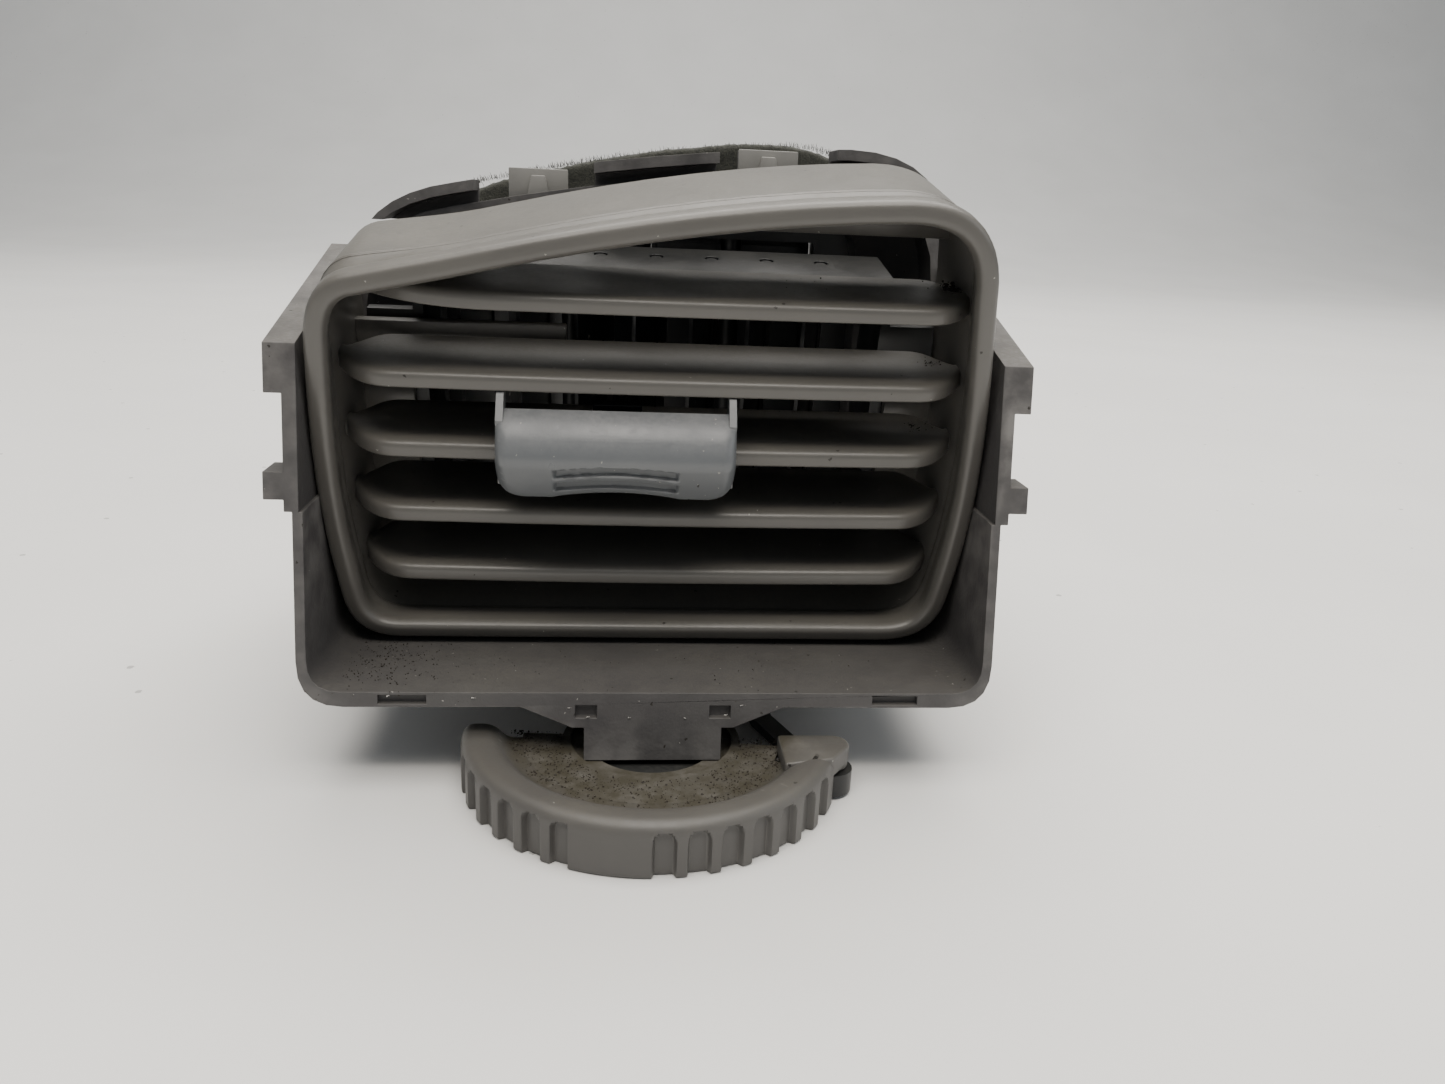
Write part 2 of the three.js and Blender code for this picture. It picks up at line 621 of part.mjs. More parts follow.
function thumbwheel() {
  const centre = new THREE.Vector2();
  const rim = new THREE.Shape();
  rim.moveTo(rimInner + 2, 0);
  rim.lineTo(wheelRadius - 0.5, 0);
  rim.lineTo(wheelRadius, 1);
  rim.lineTo(wheelRadius, wheelHeight - 2.6);
  rim.quadraticCurveTo(wheelRadius - 0.2, wheelHeight - 0.2, wheelRadius - 2.6, wheelHeight);
  rim.lineTo(rimInner + 1, wheelHeight);
  rim.quadraticCurveTo(rimInner, wheelHeight - 0.3, rimInner - 0.4, webTop - webThickness);
  rim.lineTo(rimInner + 2, webTop - webThickness);
  const profile = rim.getPoints(4);
  profile.push(profile[0].clone());
  const ring = solidOf(new THREE.LatheGeometry(profile, 72).rotateX(Math.PI / 2));
  const swept = sector(centre, rimInner - 4, wheelRadius + 4, rimStart, rimEnd);
  let wheel = ring.intersect(alongZ(swept, -1, wheelHeight + 1, 24));
  for (let angle = rimStart + ribPitch * 0.8; angle < rimEnd - ribPitch * 0.3; angle += ribPitch) {
    if (Math.abs(angle - blankAngle) < blankSpan / 2 + ribPitch * 0.2) continue;
    const arch = new THREE.Shape();
    arch.moveTo(-grooveWidth / 2, -1);
    arch.lineTo(grooveWidth / 2, -1);
    arch.lineTo(grooveWidth / 2, grooveTop - 1);
    arch.quadraticCurveTo(grooveWidth / 2, grooveTop, 0, grooveTop);
    arch.quadraticCurveTo(-grooveWidth / 2, grooveTop, -grooveWidth / 2, grooveTop - 1);
    const cutter = alongY(arch, wheelRadius - grooveDepth, wheelRadius + 3, 3);
    wheel = wheel.subtract(cutter.rotate([0, 0, angle - 90]));
  }
  const webPlan = sector(centre, wellRadius - 1, rimInner + 1, rimStart - 4, earAngle + 4);
  const web = cutFrom(alongZ(webPlan, webTop - webThickness, webTop, 20),
    postZ(0, 0, wellRadius, webTop - webThickness / 2, webTop + 1, 40));
  const hub = postZ(0, 0, wellRadius + wellWall, hubLow, hubLow + hubThickness, 40);
  const collar = cutFrom(postZ(0, 0, wellRadius + wellWall, hubLow, webTop, 40),
    postZ(0, 0, wellRadius, hubLow - 1, webTop + 1, 40));
  const tab = new THREE.Shape();
  tab.moveTo(rimInner - 4, earOffset.y - 7);
  tab.lineTo(wheelRadius - 2, earOffset.y - 5);
  tab.lineTo(earOffset.x + 2.4, earOffset.y - 2.4);
  tab.absarc(earOffset.x, earOffset.y, 2.7, -0.6, Math.PI / 2, false);
  tab.lineTo(rimInner - 4, earOffset.y + 2.7);
  const ear = joined(alongZ(tab, webTop - 1, wheelHeight, 6),
    postZ(earOffset.x, earOffset.y, 2.6, eyeTop + fitGap, wheelHeight, 16));
  const relief = postZ(earOffset.x, earOffset.y, eyeRadius + 0.5, -1, eyeTop + fitGap, 20);
  const pin = postZ(earOffset.x, earOffset.y, linkPinRadius, rodLow - fitGap, eyeTop + 1, 12);
  const body = cutFrom(joined(wheel, web, hub, collar), relief);
  return cutFrom(joined(body, ear, pin), postZ(0, 0, bossRadius + fitGap, -1, webTop + 4, 24));
}

function wheelScrew() {
  return joined(postZ(0, wheelY, 3.8, 0.3, 1.5, 20), postZ(0, wheelY, 1.5, 1.2, 8.8, 12));
}

function wheelWasher() {
  return cutFrom(postZ(0, wheelY, 7, 1.8, 2.4, 28), postZ(0, wheelY, 1.5 + fitGap, 0, 9, 12));
}

// Rod from the wheel's ear to the damper crank, with a bend that keeps it clear of the hub
function linkRod() {
  const damperPin = new THREE.Vector2(-bladeSpacing / 2, damperY).add(earOffset);
  const wheelPin = wheelCentre.clone().add(earOffset);
  const far = damperPin.clone().sub(wheelPin);
  const bend = new THREE.Vector2(-8.6, 22);
  const origin = new THREE.Vector2();
  const rod = joined(alongZ(bar(origin, bend, 1.9), rodLow, rodLow + rodThickness, 5),
    alongZ(bar(bend, far, 1.9), rodLow, rodLow + rodThickness, 5),
    postZ(0, 0, eyeRadius, rodLow, eyeTop, 20), postZ(far.x, far.y, eyeRadius, rodLow, eyeTop, 20));
  return cutFrom(rod, postZ(0, 0, linkPinRadius + fitGap, 0, 9, 12),
    postZ(far.x, far.y, linkPinRadius + runGap, 0, 9, 12));
}

function damperBlade() {
  const high = windowHigh - windowMargin;
  const low = windowLow + windowMargin;
  const heading = new THREE.Vector2(bladeHalf - 0.8, 0).rotateAround(new THREE.Vector2(), radians(bladeRest));
  const plate = bar(heading.clone().negate(), heading, bladeThickness / 2);
  const foot = tieArmLow + armThickness + 2 * fitGap;
  return joined(alongZ(plate, low, high, 3), postZ(0, 0, shaftRadius, foot, high + 3.5, 16));
}

function damperCrank(hasLinkArm) {
  const origin = new THREE.Vector2();
  const tiePin = new THREE.Vector2(0, -tieArm);
  const top = tieArmLow + armThickness;
  const socket = shaftRadius + fitGap;
  const parts = [alongZ(bar(origin, tiePin, 3), tieArmLow, top, 5),
    postZ(0, -tieArm, tiePinRadius, top - 0.5, top + 2.4, 12),
    postZ(0, 0, socket + 1.6, tieArmLow, socketTop, 20)];
  if (hasLinkArm) {
    parts.push(postZ(0, 0, 3, linkArmLow, top, 20));
    parts.push(alongZ(bar(origin, earOffset, 3), linkArmLow, linkArmLow + armThickness, 5));
    parts.push(postZ(earOffset.x, earOffset.y, linkPinRadius, rodLow, linkArmLow + 0.5, 12));
  }
  return cutFrom(joined(...parts), postZ(0, 0, socket, top + fitGap, socketTop + 1, 16));
}

function tieBar() {
  const top = tieArmLow + armThickness;
  const end = new THREE.Vector2(bladeSpacing, 0);
  return cutFrom(alongZ(bar(new THREE.Vector2(), end, 2.8), top + fitGap, top + fitGap + 1.6, 5),
    postZ(0, 0, tiePinRadius + fitGap, 0, 20, 12), postZ(end.x, 0, tiePinRadius + runGap, 0, 20, 12));
}

// ---- assembly ------------------------------------------------------------------------------------

const vent = new THREE.Group();
piece('front_housing', frontHousing(), housingGrey, vent);
piece('rear_housing', rearHousing(), housingGrey, vent);
piece('duct_seal_foam', foamSeal(), foamOlive, vent);
piece('damper_frame', damperFrame(), housingGrey, vent);
piece('pivot_bush_left', pivotBush(-1), naturalNylon, vent);
piece('pivot_bush_right', pivotBush(1), naturalNylon, vent);
piece('wheel_screw', wheelScrew(), steel, vent);
piece('wheel_washer', wheelWasher(), steel, vent);

const drum = new THREE.Group();
drum.position.set(0, pivotY, pivotZ);
drum.rotation.x = radians(restTilt);
vent.add(drum);
piece('drum_shell', drumShell(), bezelGrey, drum);
vaneHeights.forEach((z, i) => {
  piece(`horizontal_vane_${i + 1}`, horizontalVane(z, i === 0 ? topVaneShort : 0), bezelGrey, drum);
});
piece('vane_frame', vaneFrame(), housingGrey, drum);
piece('friction_ring_left', frictionRing(-1), black, drum);
piece('friction_ring_right', frictionRing(1), black, drum);

const knobGroup = new THREE.Group();
knobGroup.position.x = knobCentreX;
drum.add(knobGroup);
piece('slide_knob', slideKnob(vaneHeights[2]), knobGrey, knobGroup);
piece('knob_clip', knobClip(vaneHeights[2]), black, knobGroup);

const steerAngle = knobCentreX * steerRate;
const middle = (uprightCount - 1) / 2;
for (let i = 0; i < uprightCount; i++) {
  const upright = piece(`vertical_vane_${i + 1}`, uprightVane(i === middle), black, drum);
  upright.position.set(uprightX(i), uprightPivotY, 0);
  upright.rotation.z = steerAngle;
}
const linkStrip = piece('vane_link_bar', linkBar(), black, drum);
const stripOffset = new THREE.Vector2(0, linkBarOffset).rotateAround(new THREE.Vector2(), steerAngle);
linkStrip.position.set(stripOffset.x, uprightPivotY + stripOffset.y, 0);

const wheel = piece('thumbwheel', thumbwheel(), bezelGrey, vent);
wheel.position.set(wheelCentre.x, wheelCentre.y, 0);
const rod = piece('damper_link_rod', linkRod(), black, vent);
rod.position.set(wheelCentre.x + earOffset.x, wheelCentre.y + earOffset.y, 0);

[['left', -1], ['right', 1]].forEach(([name, side]) => {
  const x = (side * bladeSpacing) / 2;
  piece(`damper_blade_${name}`, damperBlade(), black, vent).position.set(x, damperY, 0);
  piece(`damper_crank_${name}`, damperCrank(side < 0), black, vent).position.set(x, damperY, 0);
});
piece('damper_tie_bar', tieBar(), black, vent).position.set(-bladeSpacing / 2, damperY - tieArm, 0);

// The origin is the middle of the footprint, on the surface that the vent stands on
vent.updateMatrixWorld(true);
const extent = new THREE.Box3().setFromObject(vent, true);
vent.position.set(-(extent.min.x + extent.max.x) / 2, -(extent.min.y + extent.max.y) / 2, -extent.min.z);

export default vent;
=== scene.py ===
import json
import math
import random

import bmesh
import bpy
from mathutils import Matrix, Vector, geometry, noise


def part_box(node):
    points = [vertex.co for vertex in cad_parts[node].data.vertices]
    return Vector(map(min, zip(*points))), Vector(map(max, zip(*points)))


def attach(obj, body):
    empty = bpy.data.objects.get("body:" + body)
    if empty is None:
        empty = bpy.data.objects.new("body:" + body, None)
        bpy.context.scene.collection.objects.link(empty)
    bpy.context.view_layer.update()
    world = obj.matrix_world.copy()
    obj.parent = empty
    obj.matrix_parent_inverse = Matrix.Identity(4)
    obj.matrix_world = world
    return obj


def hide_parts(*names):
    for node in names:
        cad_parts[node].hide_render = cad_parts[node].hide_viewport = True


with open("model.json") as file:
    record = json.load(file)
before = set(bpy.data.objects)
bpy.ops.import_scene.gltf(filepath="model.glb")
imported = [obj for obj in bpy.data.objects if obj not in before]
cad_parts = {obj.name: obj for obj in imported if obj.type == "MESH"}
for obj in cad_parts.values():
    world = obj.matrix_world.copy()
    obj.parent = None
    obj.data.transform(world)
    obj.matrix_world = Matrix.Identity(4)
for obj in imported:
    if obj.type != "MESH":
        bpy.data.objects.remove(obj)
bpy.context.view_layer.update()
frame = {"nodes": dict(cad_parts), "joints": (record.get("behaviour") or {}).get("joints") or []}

jointNamed = {joint["name"]: joint for joint in frame["joints"]}
mm = 0.001
shapeUnit = Matrix.Scale(mm, 4)  # shapes below are in millimetres, the scene is in metres

# where the moving groups stand at rest
restTilt = 12  # degrees, louvre face turned down
trunnion = Vector(jointNamed["drum_tilt"]["pos_m"])
wheelAxis = Vector(jointNamed["wheel_turn"]["pos_m"])
drumPlace = Matrix.Translation(trunnion) @ Matrix.Rotation(math.radians(restTilt), 4, "X") @ shapeUnit
ventPlace = Matrix.Translation((0, trunnion.y, 0)) @ shapeUnit  # y from the trunnions, z from the table
trunnionDepth = 38  # mm, how far the trunnions are behind the housing's front
frontLean = 10  # degrees, how far the housing's front leans back
wheelPlace = Matrix.Translation((wheelAxis.x, wheelAxis.y, 0)) @ shapeUnit
knobLow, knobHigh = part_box("slide_knob")
knobPlace = drumPlace @ Matrix.Translation(((knobLow.x + knobHigh.x) / 2 / mm, 0, 0))


def bezier(start, control, end, steps=8):
    # one curved stretch with a single control point, without its first point
    first = start + (control - start) * 2 / 3
    second = end + (control - end) * 2 / 3
    return geometry.interpolate_bezier(start, first, second, end, steps + 1)[1:]


def pathOf(start, strokes, steps=10):
    # strokes are end points, or a control point and an end point, or two control points and an end point
    path = [Vector(start)]
    for stroke in strokes:
        points = [Vector(point) for point in stroke]
        if len(points) == 1:
            path.append(points[0])
        elif len(points) == 2:
            path += bezier(path[-1], points[0], points[1], steps)
        else:
            path += geometry.interpolate_bezier(path[-1], *points, 2 * steps + 1)[1:]
    return path


def evenLoop(path, count):
    # the same closed line with its points equally far apart
    ends = path[1:] + path[:1]
    lengths = [(b - a).length for a, b in zip(path, ends)]
    step = sum(lengths) / count
    loop, along, index = [], 0.0, 0
    for k in range(count):
        while along + lengths[index] < k * step:
            along += lengths[index]
            index += 1
        share = (k * step - along) / max(lengths[index], 1e-9)
        loop.append(path[index].lerp(ends[index], share))
    return loop


def outwardOf(loop):
    # unit directions that point out of a closed anticlockwise line
    found = []
    for before, after in zip(loop[-1:] + loop[:-1], loop[1:] + loop[:1]):
        heading = (after - before).normalized()
        found.append(Vector((heading.y, -heading.x)))
    return found


def filleted(points, radii, steps=4):
    # a closed polygon with its corners rounded
    path = []
    for i, radius in enumerate(radii):
        here, before, after = Vector(points[i]), Vector(points[i - 1]), Vector(points[(i + 1) % len(points)])
        if not radius:
            path.append(here)
            continue
        start = here + (before - here).normalized() * min(radius, (before - here).length * 0.48)
        end = here + (after - here).normalized() * min(radius, (after - here).length * 0.48)
        path.append(start)
        path += bezier(start, here, end, steps)
    return path


def firstRing(bm, places):
    ring = [bm.verts.new(place) for place in places]
    for a, b in zip(ring, ring[1:] + ring[:1]):
        bm.edges.new((a, b))
    return ring


def nextRing(bm, ring, places):
    # extrudes a ring of edges and puts each new corner at its place
    edges = [bm.edges.get(pair) for pair in zip(ring, ring[1:] + ring[:1])]
    made = set(bmesh.ops.extrude_edge_only(bm, edges=edges)["geom"])
    fresh = []
    for corner, place in zip(ring, places):
        twin = next(e.other_vert(corner) for e in corner.link_edges if e.other_vert(corner) in made)
        twin.co = place
        fresh.append(twin)
    return fresh


def capRing(bm, ring):
    edges = [bm.edges.get(pair) for pair in zip(ring, ring[1:] + ring[:1])]
    bmesh.ops.edgeloop_fill(bm, edges=edges)


def sweptWall(bm, loop, profile):
    # a closed wall along an outline in XZ; the profile gives how far out and how far along Y
    outward = outwardOf(loop)
    ring = None
    for out, y in list(profile) + list(profile)[:1]:
        places = [(p.x + n.x * out, y, p.y + n.y * out) for p, n in zip(loop, outward)]
        ring = nextRing(bm, ring, places) if ring else firstRing(bm, places)


def faceOut(bm):
    bmesh.ops.recalc_face_normals(bm, faces=bm.faces)


def easeEdges(bm, edges, offset, segments):
    bmesh.ops.bevel(bm, geom=edges, offset=offset, segments=segments, affect="EDGES", profile=0.5,
                    material=-1)


def prism(bm, outline, low, high, axis="Y", soft=0.0, segments=2):
    # a solid slab of a flat outline, with its edges eased
    turn = {"X": lambda p, h: (h, p[0], p[1]), "Y": lambda p, h: (p[0], h, p[1]),
            "Z": lambda p, h: (p[0], p[1], h)}[axis]
    corners = [bm.verts.new(turn(point, low)) for point in outline]
    face = bm.faces.new(corners)
    made = bmesh.ops.extrude_face_region(bm, geom=[face])["geom"]
    far = [item for item in made if isinstance(item, bmesh.types.BMVert)]
    bmesh.ops.translate(bm, verts=far, vec=Vector(turn((0, 0), high - low)))
    if soft:
        both = set(corners) | set(far)
        edges = [e for e in bm.edges if e.verts[0] in both and e.verts[1] in both]
        sharp = [e for e in edges if len(e.link_faces) == 2 and e.calc_face_angle(0) > 0.5]
        easeEdges(bm, sharp, soft, segments)


def roundPost(bm, centre, radius, low, high, soft=0.3, sides=40):
    middle = Matrix.Translation((centre[0], centre[1], (low + high) / 2))
    made = bmesh.ops.create_cone(bm, cap_ends=True, segments=sides, radius1=radius, radius2=radius,
                                 depth=high - low, matrix=middle)["verts"]
    ends = {e for v in made for e in v.link_edges if abs(e.verts[0].co.z - e.verts[1].co.z) < 1e-6}
    easeEdges(bm, list(ends), soft, 3)


def closeUp(bm):
    bmesh.ops.remove_doubles(bm, verts=bm.verts, dist=1e-4)
    faceOut(bm)


def meshObject(name, bm, material):
    mesh = bpy.data.meshes.new(name)
    bm.to_mesh(mesh)
    bm.free()
    mesh.shade_smooth()
    mesh.materials.append(material)
    made = bpy.data.objects.new(name, mesh)
    bpy.context.scene.collection.objects.link(made)
    return made


def newPiece(name, bm, place, body, material, stands=(), sharp=38):
    bmesh.ops.transform(bm, matrix=place, verts=bm.verts)
    piece = meshObject(name, bm, material)
    piece.data.set_sharp_from_angle(angle=math.radians(sharp))
    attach(piece, body)
    if stands:
        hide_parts(*stands)
    return piece


def softened(node, name, body, material, width=0.3, sharp=30):
    # a copy of a plain node with its corners merged and its edges eased
    bm = bmesh.new()
    bm.from_mesh(frame["nodes"][node].data)
    bmesh.ops.remove_doubles(bm, verts=bm.verts, dist=2e-6)
    bmesh.ops.dissolve_limit(bm, angle_limit=math.radians(0.6), verts=bm.verts, edges=bm.edges)
    piece = newPiece(name, bm, Matrix.Identity(4), body, material, [node], sharp)
    ease = piece.modifiers.new("easedEdges", "BEVEL")
    ease.width = width * mm
    ease.segments = 2
    ease.limit_method = "ANGLE"
    ease.angle_limit = math.radians(sharp)
    ease.harden_normals = True
    return piece


def effect(name, inputs, outputs):
    group = bpy.data.node_groups.new(name, "ShaderNodeTree")
    for label, kind, value in inputs:
        socket = group.interface.new_socket(label, in_out="INPUT", socket_type=kind)
        socket.default_value = value
    for label, kind in outputs:
        group.interface.new_socket(label, in_out="OUTPUT", socket_type=kind)
    return group, group.nodes.new("NodeGroupInput"), group.nodes.new("NodeGroupOutput")


def put(tree, kind, links=(), **settings):
    # one node, its settings, and its inputs, each a value or another node's output
    node = tree.nodes.new(kind)
    for key, value in settings.items():
        setattr(node, key, value)
    for label, source in dict(links).items():
        socket = node.inputs[label]
        if isinstance(source, bpy.types.NodeSocket):
            tree.links.new(source, socket)
        else:
            socket.default_value = source
    return node


def ramp(tree, source, low, high):
    node = put(tree, "ShaderNodeMapRange", {"Value": source, "From Min": low, "From Max": high}, clamp=True)
    return node.outputs["Result"]


def times(tree, a, b, operation="MULTIPLY"):
    return put(tree, "ShaderNodeMath", {0: a, 1: b}, operation=operation).outputs[0]


def mixed(tree, share, a, b):
    node = put(tree, "ShaderNodeMix", data_type="RGBA")
    for socket, value in ((node.inputs[0], share), (node.inputs[6], a), (node.inputs[7], b)):
        if isinstance(value, bpy.types.NodeSocket):
            tree.links.new(value, socket)
        else:
            socket.default_value = value if socket == node.inputs[0] else (*value, 1)
    return node.outputs[2]


def noiseAt(tree, place, scale, detail=3.0, rough=0.55):
    links = {"Vector": place, "Scale": scale, "Detail": detail, "Roughness": rough}
    return put(tree, "ShaderNodeTexNoise", links).outputs["Fac"]


def makeDustEffect():
    # dust lies where a face looks up, in patches, thicker in some places
    group, given, result = effect("settledDust", [
        ("Amount", "NodeSocketFloat", 0.5), ("Patch Scale", "NodeSocketFloat", 60.0),
        ("Place", "NodeSocketVector", (0, 0, 0))], [("Mask", "NodeSocketFloat")])
    face = put(group, "ShaderNodeNewGeometry")
    up = put(group, "ShaderNodeSeparateXYZ", {"Vector": face.outputs["Normal"]}).outputs["Z"]
    facing = ramp(group, up, 0.15, 0.95)
    patches = ramp(group, noiseAt(group, given.outputs["Place"], given.outputs["Patch Scale"], 5.0), 0.35, 0.68)
    fine = ramp(group, noiseAt(group, given.outputs["Place"], 1400.0, 2.0), 0.3, 0.7)
    lay = times(group, facing, times(group, times(group, patches, 0.75, "ADD"), times(group, fine, 0.5, "ADD")))
    amount = times(group, lay, given.outputs["Amount"])
    group.links.new(put(group, "ShaderNodeClamp", {"Value": amount}).outputs[0], result.inputs["Mask"])
    return group


def makeSpeckEffect():
    # small separate flecks; Share is how many cells of the pattern hold one
    group, given, result = effect("looseSpecks", [
        ("Cell Scale", "NodeSocketFloat", 500.0), ("Share", "NodeSocketFloat", 0.1),
        ("Size", "NodeSocketFloat", 0.3), ("Place", "NodeSocketVector", (0, 0, 0))],
        [("Mask", "NodeSocketFloat")])
    wobble = put(group, "ShaderNodeTexNoise", {"Vector": given.outputs["Place"], "Scale": 2500.0, "Detail": 1.0})
    shift = put(group, "ShaderNodeVectorMath", {0: wobble.outputs["Color"], 1: (0.0006, 0.0006, 0.0006)},
                operation="MULTIPLY").outputs[0]
    place = put(group, "ShaderNodeVectorMath", {0: given.outputs["Place"], 1: shift}, operation="ADD").outputs[0]
    cells = put(group, "ShaderNodeTexVoronoi", {"Vector": place, "Scale": given.outputs["Cell Scale"]})
    pick = put(group, "ShaderNodeSeparateColor", {"Color": cells.outputs["Color"]}).outputs[0]
    chosen = times(group, pick, given.outputs["Share"], "LESS_THAN")
    near = times(group, cells.outputs["Distance"], given.outputs["Size"], "LESS_THAN")
    group.links.new(times(group, chosen, near), result.inputs["Mask"])
    return group


def makeWearEffect():
    # rubbed edges: a lighter line where the surface turns sharply outwards
    group, given, result = effect("rubbedEdges", [
        ("Amount", "NodeSocketFloat", 0.5), ("Place", "NodeSocketVector", (0, 0, 0))],
        [("Mask", "NodeSocketFloat")])
    point = put(group, "ShaderNodeNewGeometry").outputs["Pointiness"]
    edge = ramp(group, point, 0.515, 0.60)
    patches = ramp(group, noiseAt(group, given.outputs["Place"], 220.0, 4.0), 0.35, 0.65)
    group.links.new(times(group, times(group, edge, patches), given.outputs["Amount"]), result.inputs["Mask"])
    return group


def makeGrainEffect():
    # the fine leathery skin of a moulded plastic, as a height
    group, given, result = effect("mouldedGrain", [
        ("Grain Scale", "NodeSocketFloat", 2600.0), ("Place", "NodeSocketVector", (0, 0, 0))],
        [("Height", "NodeSocketFloat"), ("Tone", "NodeSocketFloat")])
    cells = put(group, "ShaderNodeTexVoronoi", {"Vector": given.outputs["Place"],
                                                "Scale": given.outputs["Grain Scale"]}, feature="SMOOTH_F1")
    soft = noiseAt(group, given.outputs["Place"], 900.0, 4.0)
    height = times(group, times(group, cells.outputs["Distance"], 0.6), soft, "ADD")
    group.links.new(height, result.inputs["Height"])
    group.links.new(noiseAt(group, given.outputs["Place"], 45.0, 6.0, 0.6), result.inputs["Tone"])
    return group


def useEffect(tree, group, **links):
    node = tree.nodes.new("ShaderNodeGroup")
    node.node_tree = group
    for label, value in links.items():
        socket = node.inputs[label.replace("_", " ")]
        if isinstance(value, bpy.types.NodeSocket):
            tree.links.new(value, socket)
        else:
            socket.default_value = value
    return node


def makeGrimeEffect():
    # a film of brown dirt on faces that look up, inside a given distance from an upright axis
    group, given, result = effect("settledGrime", [
        ("Centre", "NodeSocketVector", (0, 0, 0)), ("Reach", "NodeSocketFloat", 0.02),
        ("Place", "NodeSocketVector", (0, 0, 0))], [("Mask", "NodeSocketFloat")])
    offset = put(group, "ShaderNodeVectorMath", {0: given.outputs["Place"], 1: given.outputs["Centre"]},
                 operation="SUBTRACT").outputs[0]
    flat = put(group, "ShaderNodeVectorMath", {0: offset, 1: (1, 1, 0)}, operation="MULTIPLY").outputs[0]
    far = put(group, "ShaderNodeVectorMath", {0: flat}, operation="LENGTH").outputs["Value"]
    inside = ramp(group, times(group, given.outputs["Reach"], far, "SUBTRACT"), -0.0015, 0.0025)
    up = put(group, "ShaderNodeSeparateXYZ",
             {"Vector": put(group, "ShaderNodeNewGeometry").outputs["Normal"]}).outputs["Z"]
    patches = ramp(group, noiseAt(group, given.outputs["Place"], 260.0, 6.0, 0.7), 0.2, 0.6)
    lay = times(group, times(group, inside, ramp(group, up, 0.3, 0.95)), patches)
    group.links.new(lay, result.inputs["Mask"])
    return group


dustEffect = makeDustEffect()
speckEffect = makeSpeckEffect()
wearEffect = makeWearEffect()
grainEffect = makeGrainEffect()
grimeEffect = makeGrimeEffect()


def newMaterial(name):
    material = bpy.data.materials.new(name)
    material.use_nodes = True
    tree = material.node_tree
    place = put(tree, "ShaderNodeTexCoord").outputs["Object"]
    return material, tree, tree.nodes["Principled BSDF"], place


darkSpeck = (0.018, 0.015, 0.012)
lightSpeck = (0.26, 0.25, 0.23)


def plastic(name, look):
    # a moulded plastic with grain, uneven tone, dust, specks and rubbed edges
    material, tree, shader, place = newMaterial(name)
    grain = useEffect(tree, grainEffect, Grain_Scale=look["grainScale"], Place=place)
    dust = useEffect(tree, dustEffect, Amount=look["dust"], Patch_Scale=look["dustPatches"], Place=place)
    dark = useEffect(tree, speckEffect, Cell_Scale=look["speckScale"], Share=look["darkSpecks"],
                     Size=0.2, Place=place)
    light = useEffect(tree, speckEffect, Cell_Scale=look["speckScale"] * 1.7, Share=look["lightSpecks"],
                      Size=0.2, Place=place)
    wear = useEffect(tree, wearEffect, Amount=look["wear"], Place=place)
    tone = ramp(tree, grain.outputs["Tone"], 0.3, 0.7)
    colour = mixed(tree, tone, look["deep"], look["colour"])
    colour = mixed(tree, wear.outputs["Mask"], colour, look["worn"])
    colour = mixed(tree, dust.outputs["Mask"], colour, look["dustColour"])
    if "grimeReach" in look:
        grime = useEffect(tree, grimeEffect, Centre=wheelAxis, Reach=look["grimeReach"], Place=place)
        colour = mixed(tree, grime.outputs["Mask"], colour, look["grimeColour"])
    colour = mixed(tree, dark.outputs["Mask"], colour, darkSpeck)
    colour = mixed(tree, light.outputs["Mask"], colour, lightSpeck)
    tree.links.new(colour, shader.inputs["Base Color"])
    patchy = ramp(tree, noiseAt(tree, place, 130.0, 4.0), 0.25, 0.75)
    rough = put(tree, "ShaderNodeMapRange", {"Value": patchy, "To Min": look["roughness"] - 0.05,
                                             "To Max": look["roughness"] + 0.07}).outputs["Result"]
    rough = times(tree, rough, times(tree, dust.outputs["Mask"], 0.35), "ADD")
    tree.links.new(rough, shader.inputs["Roughness"])
    bump = put(tree, "ShaderNodeBump", {"Height": grain.outputs["Height"], "Strength": look["grain"],
                                        "Distance": 0.00012})
    tree.links.new(bump.outputs["Normal"], shader.inputs["Normal"])
    shader.inputs["Specular IOR Level"].default_value = look["specular"]
    return material


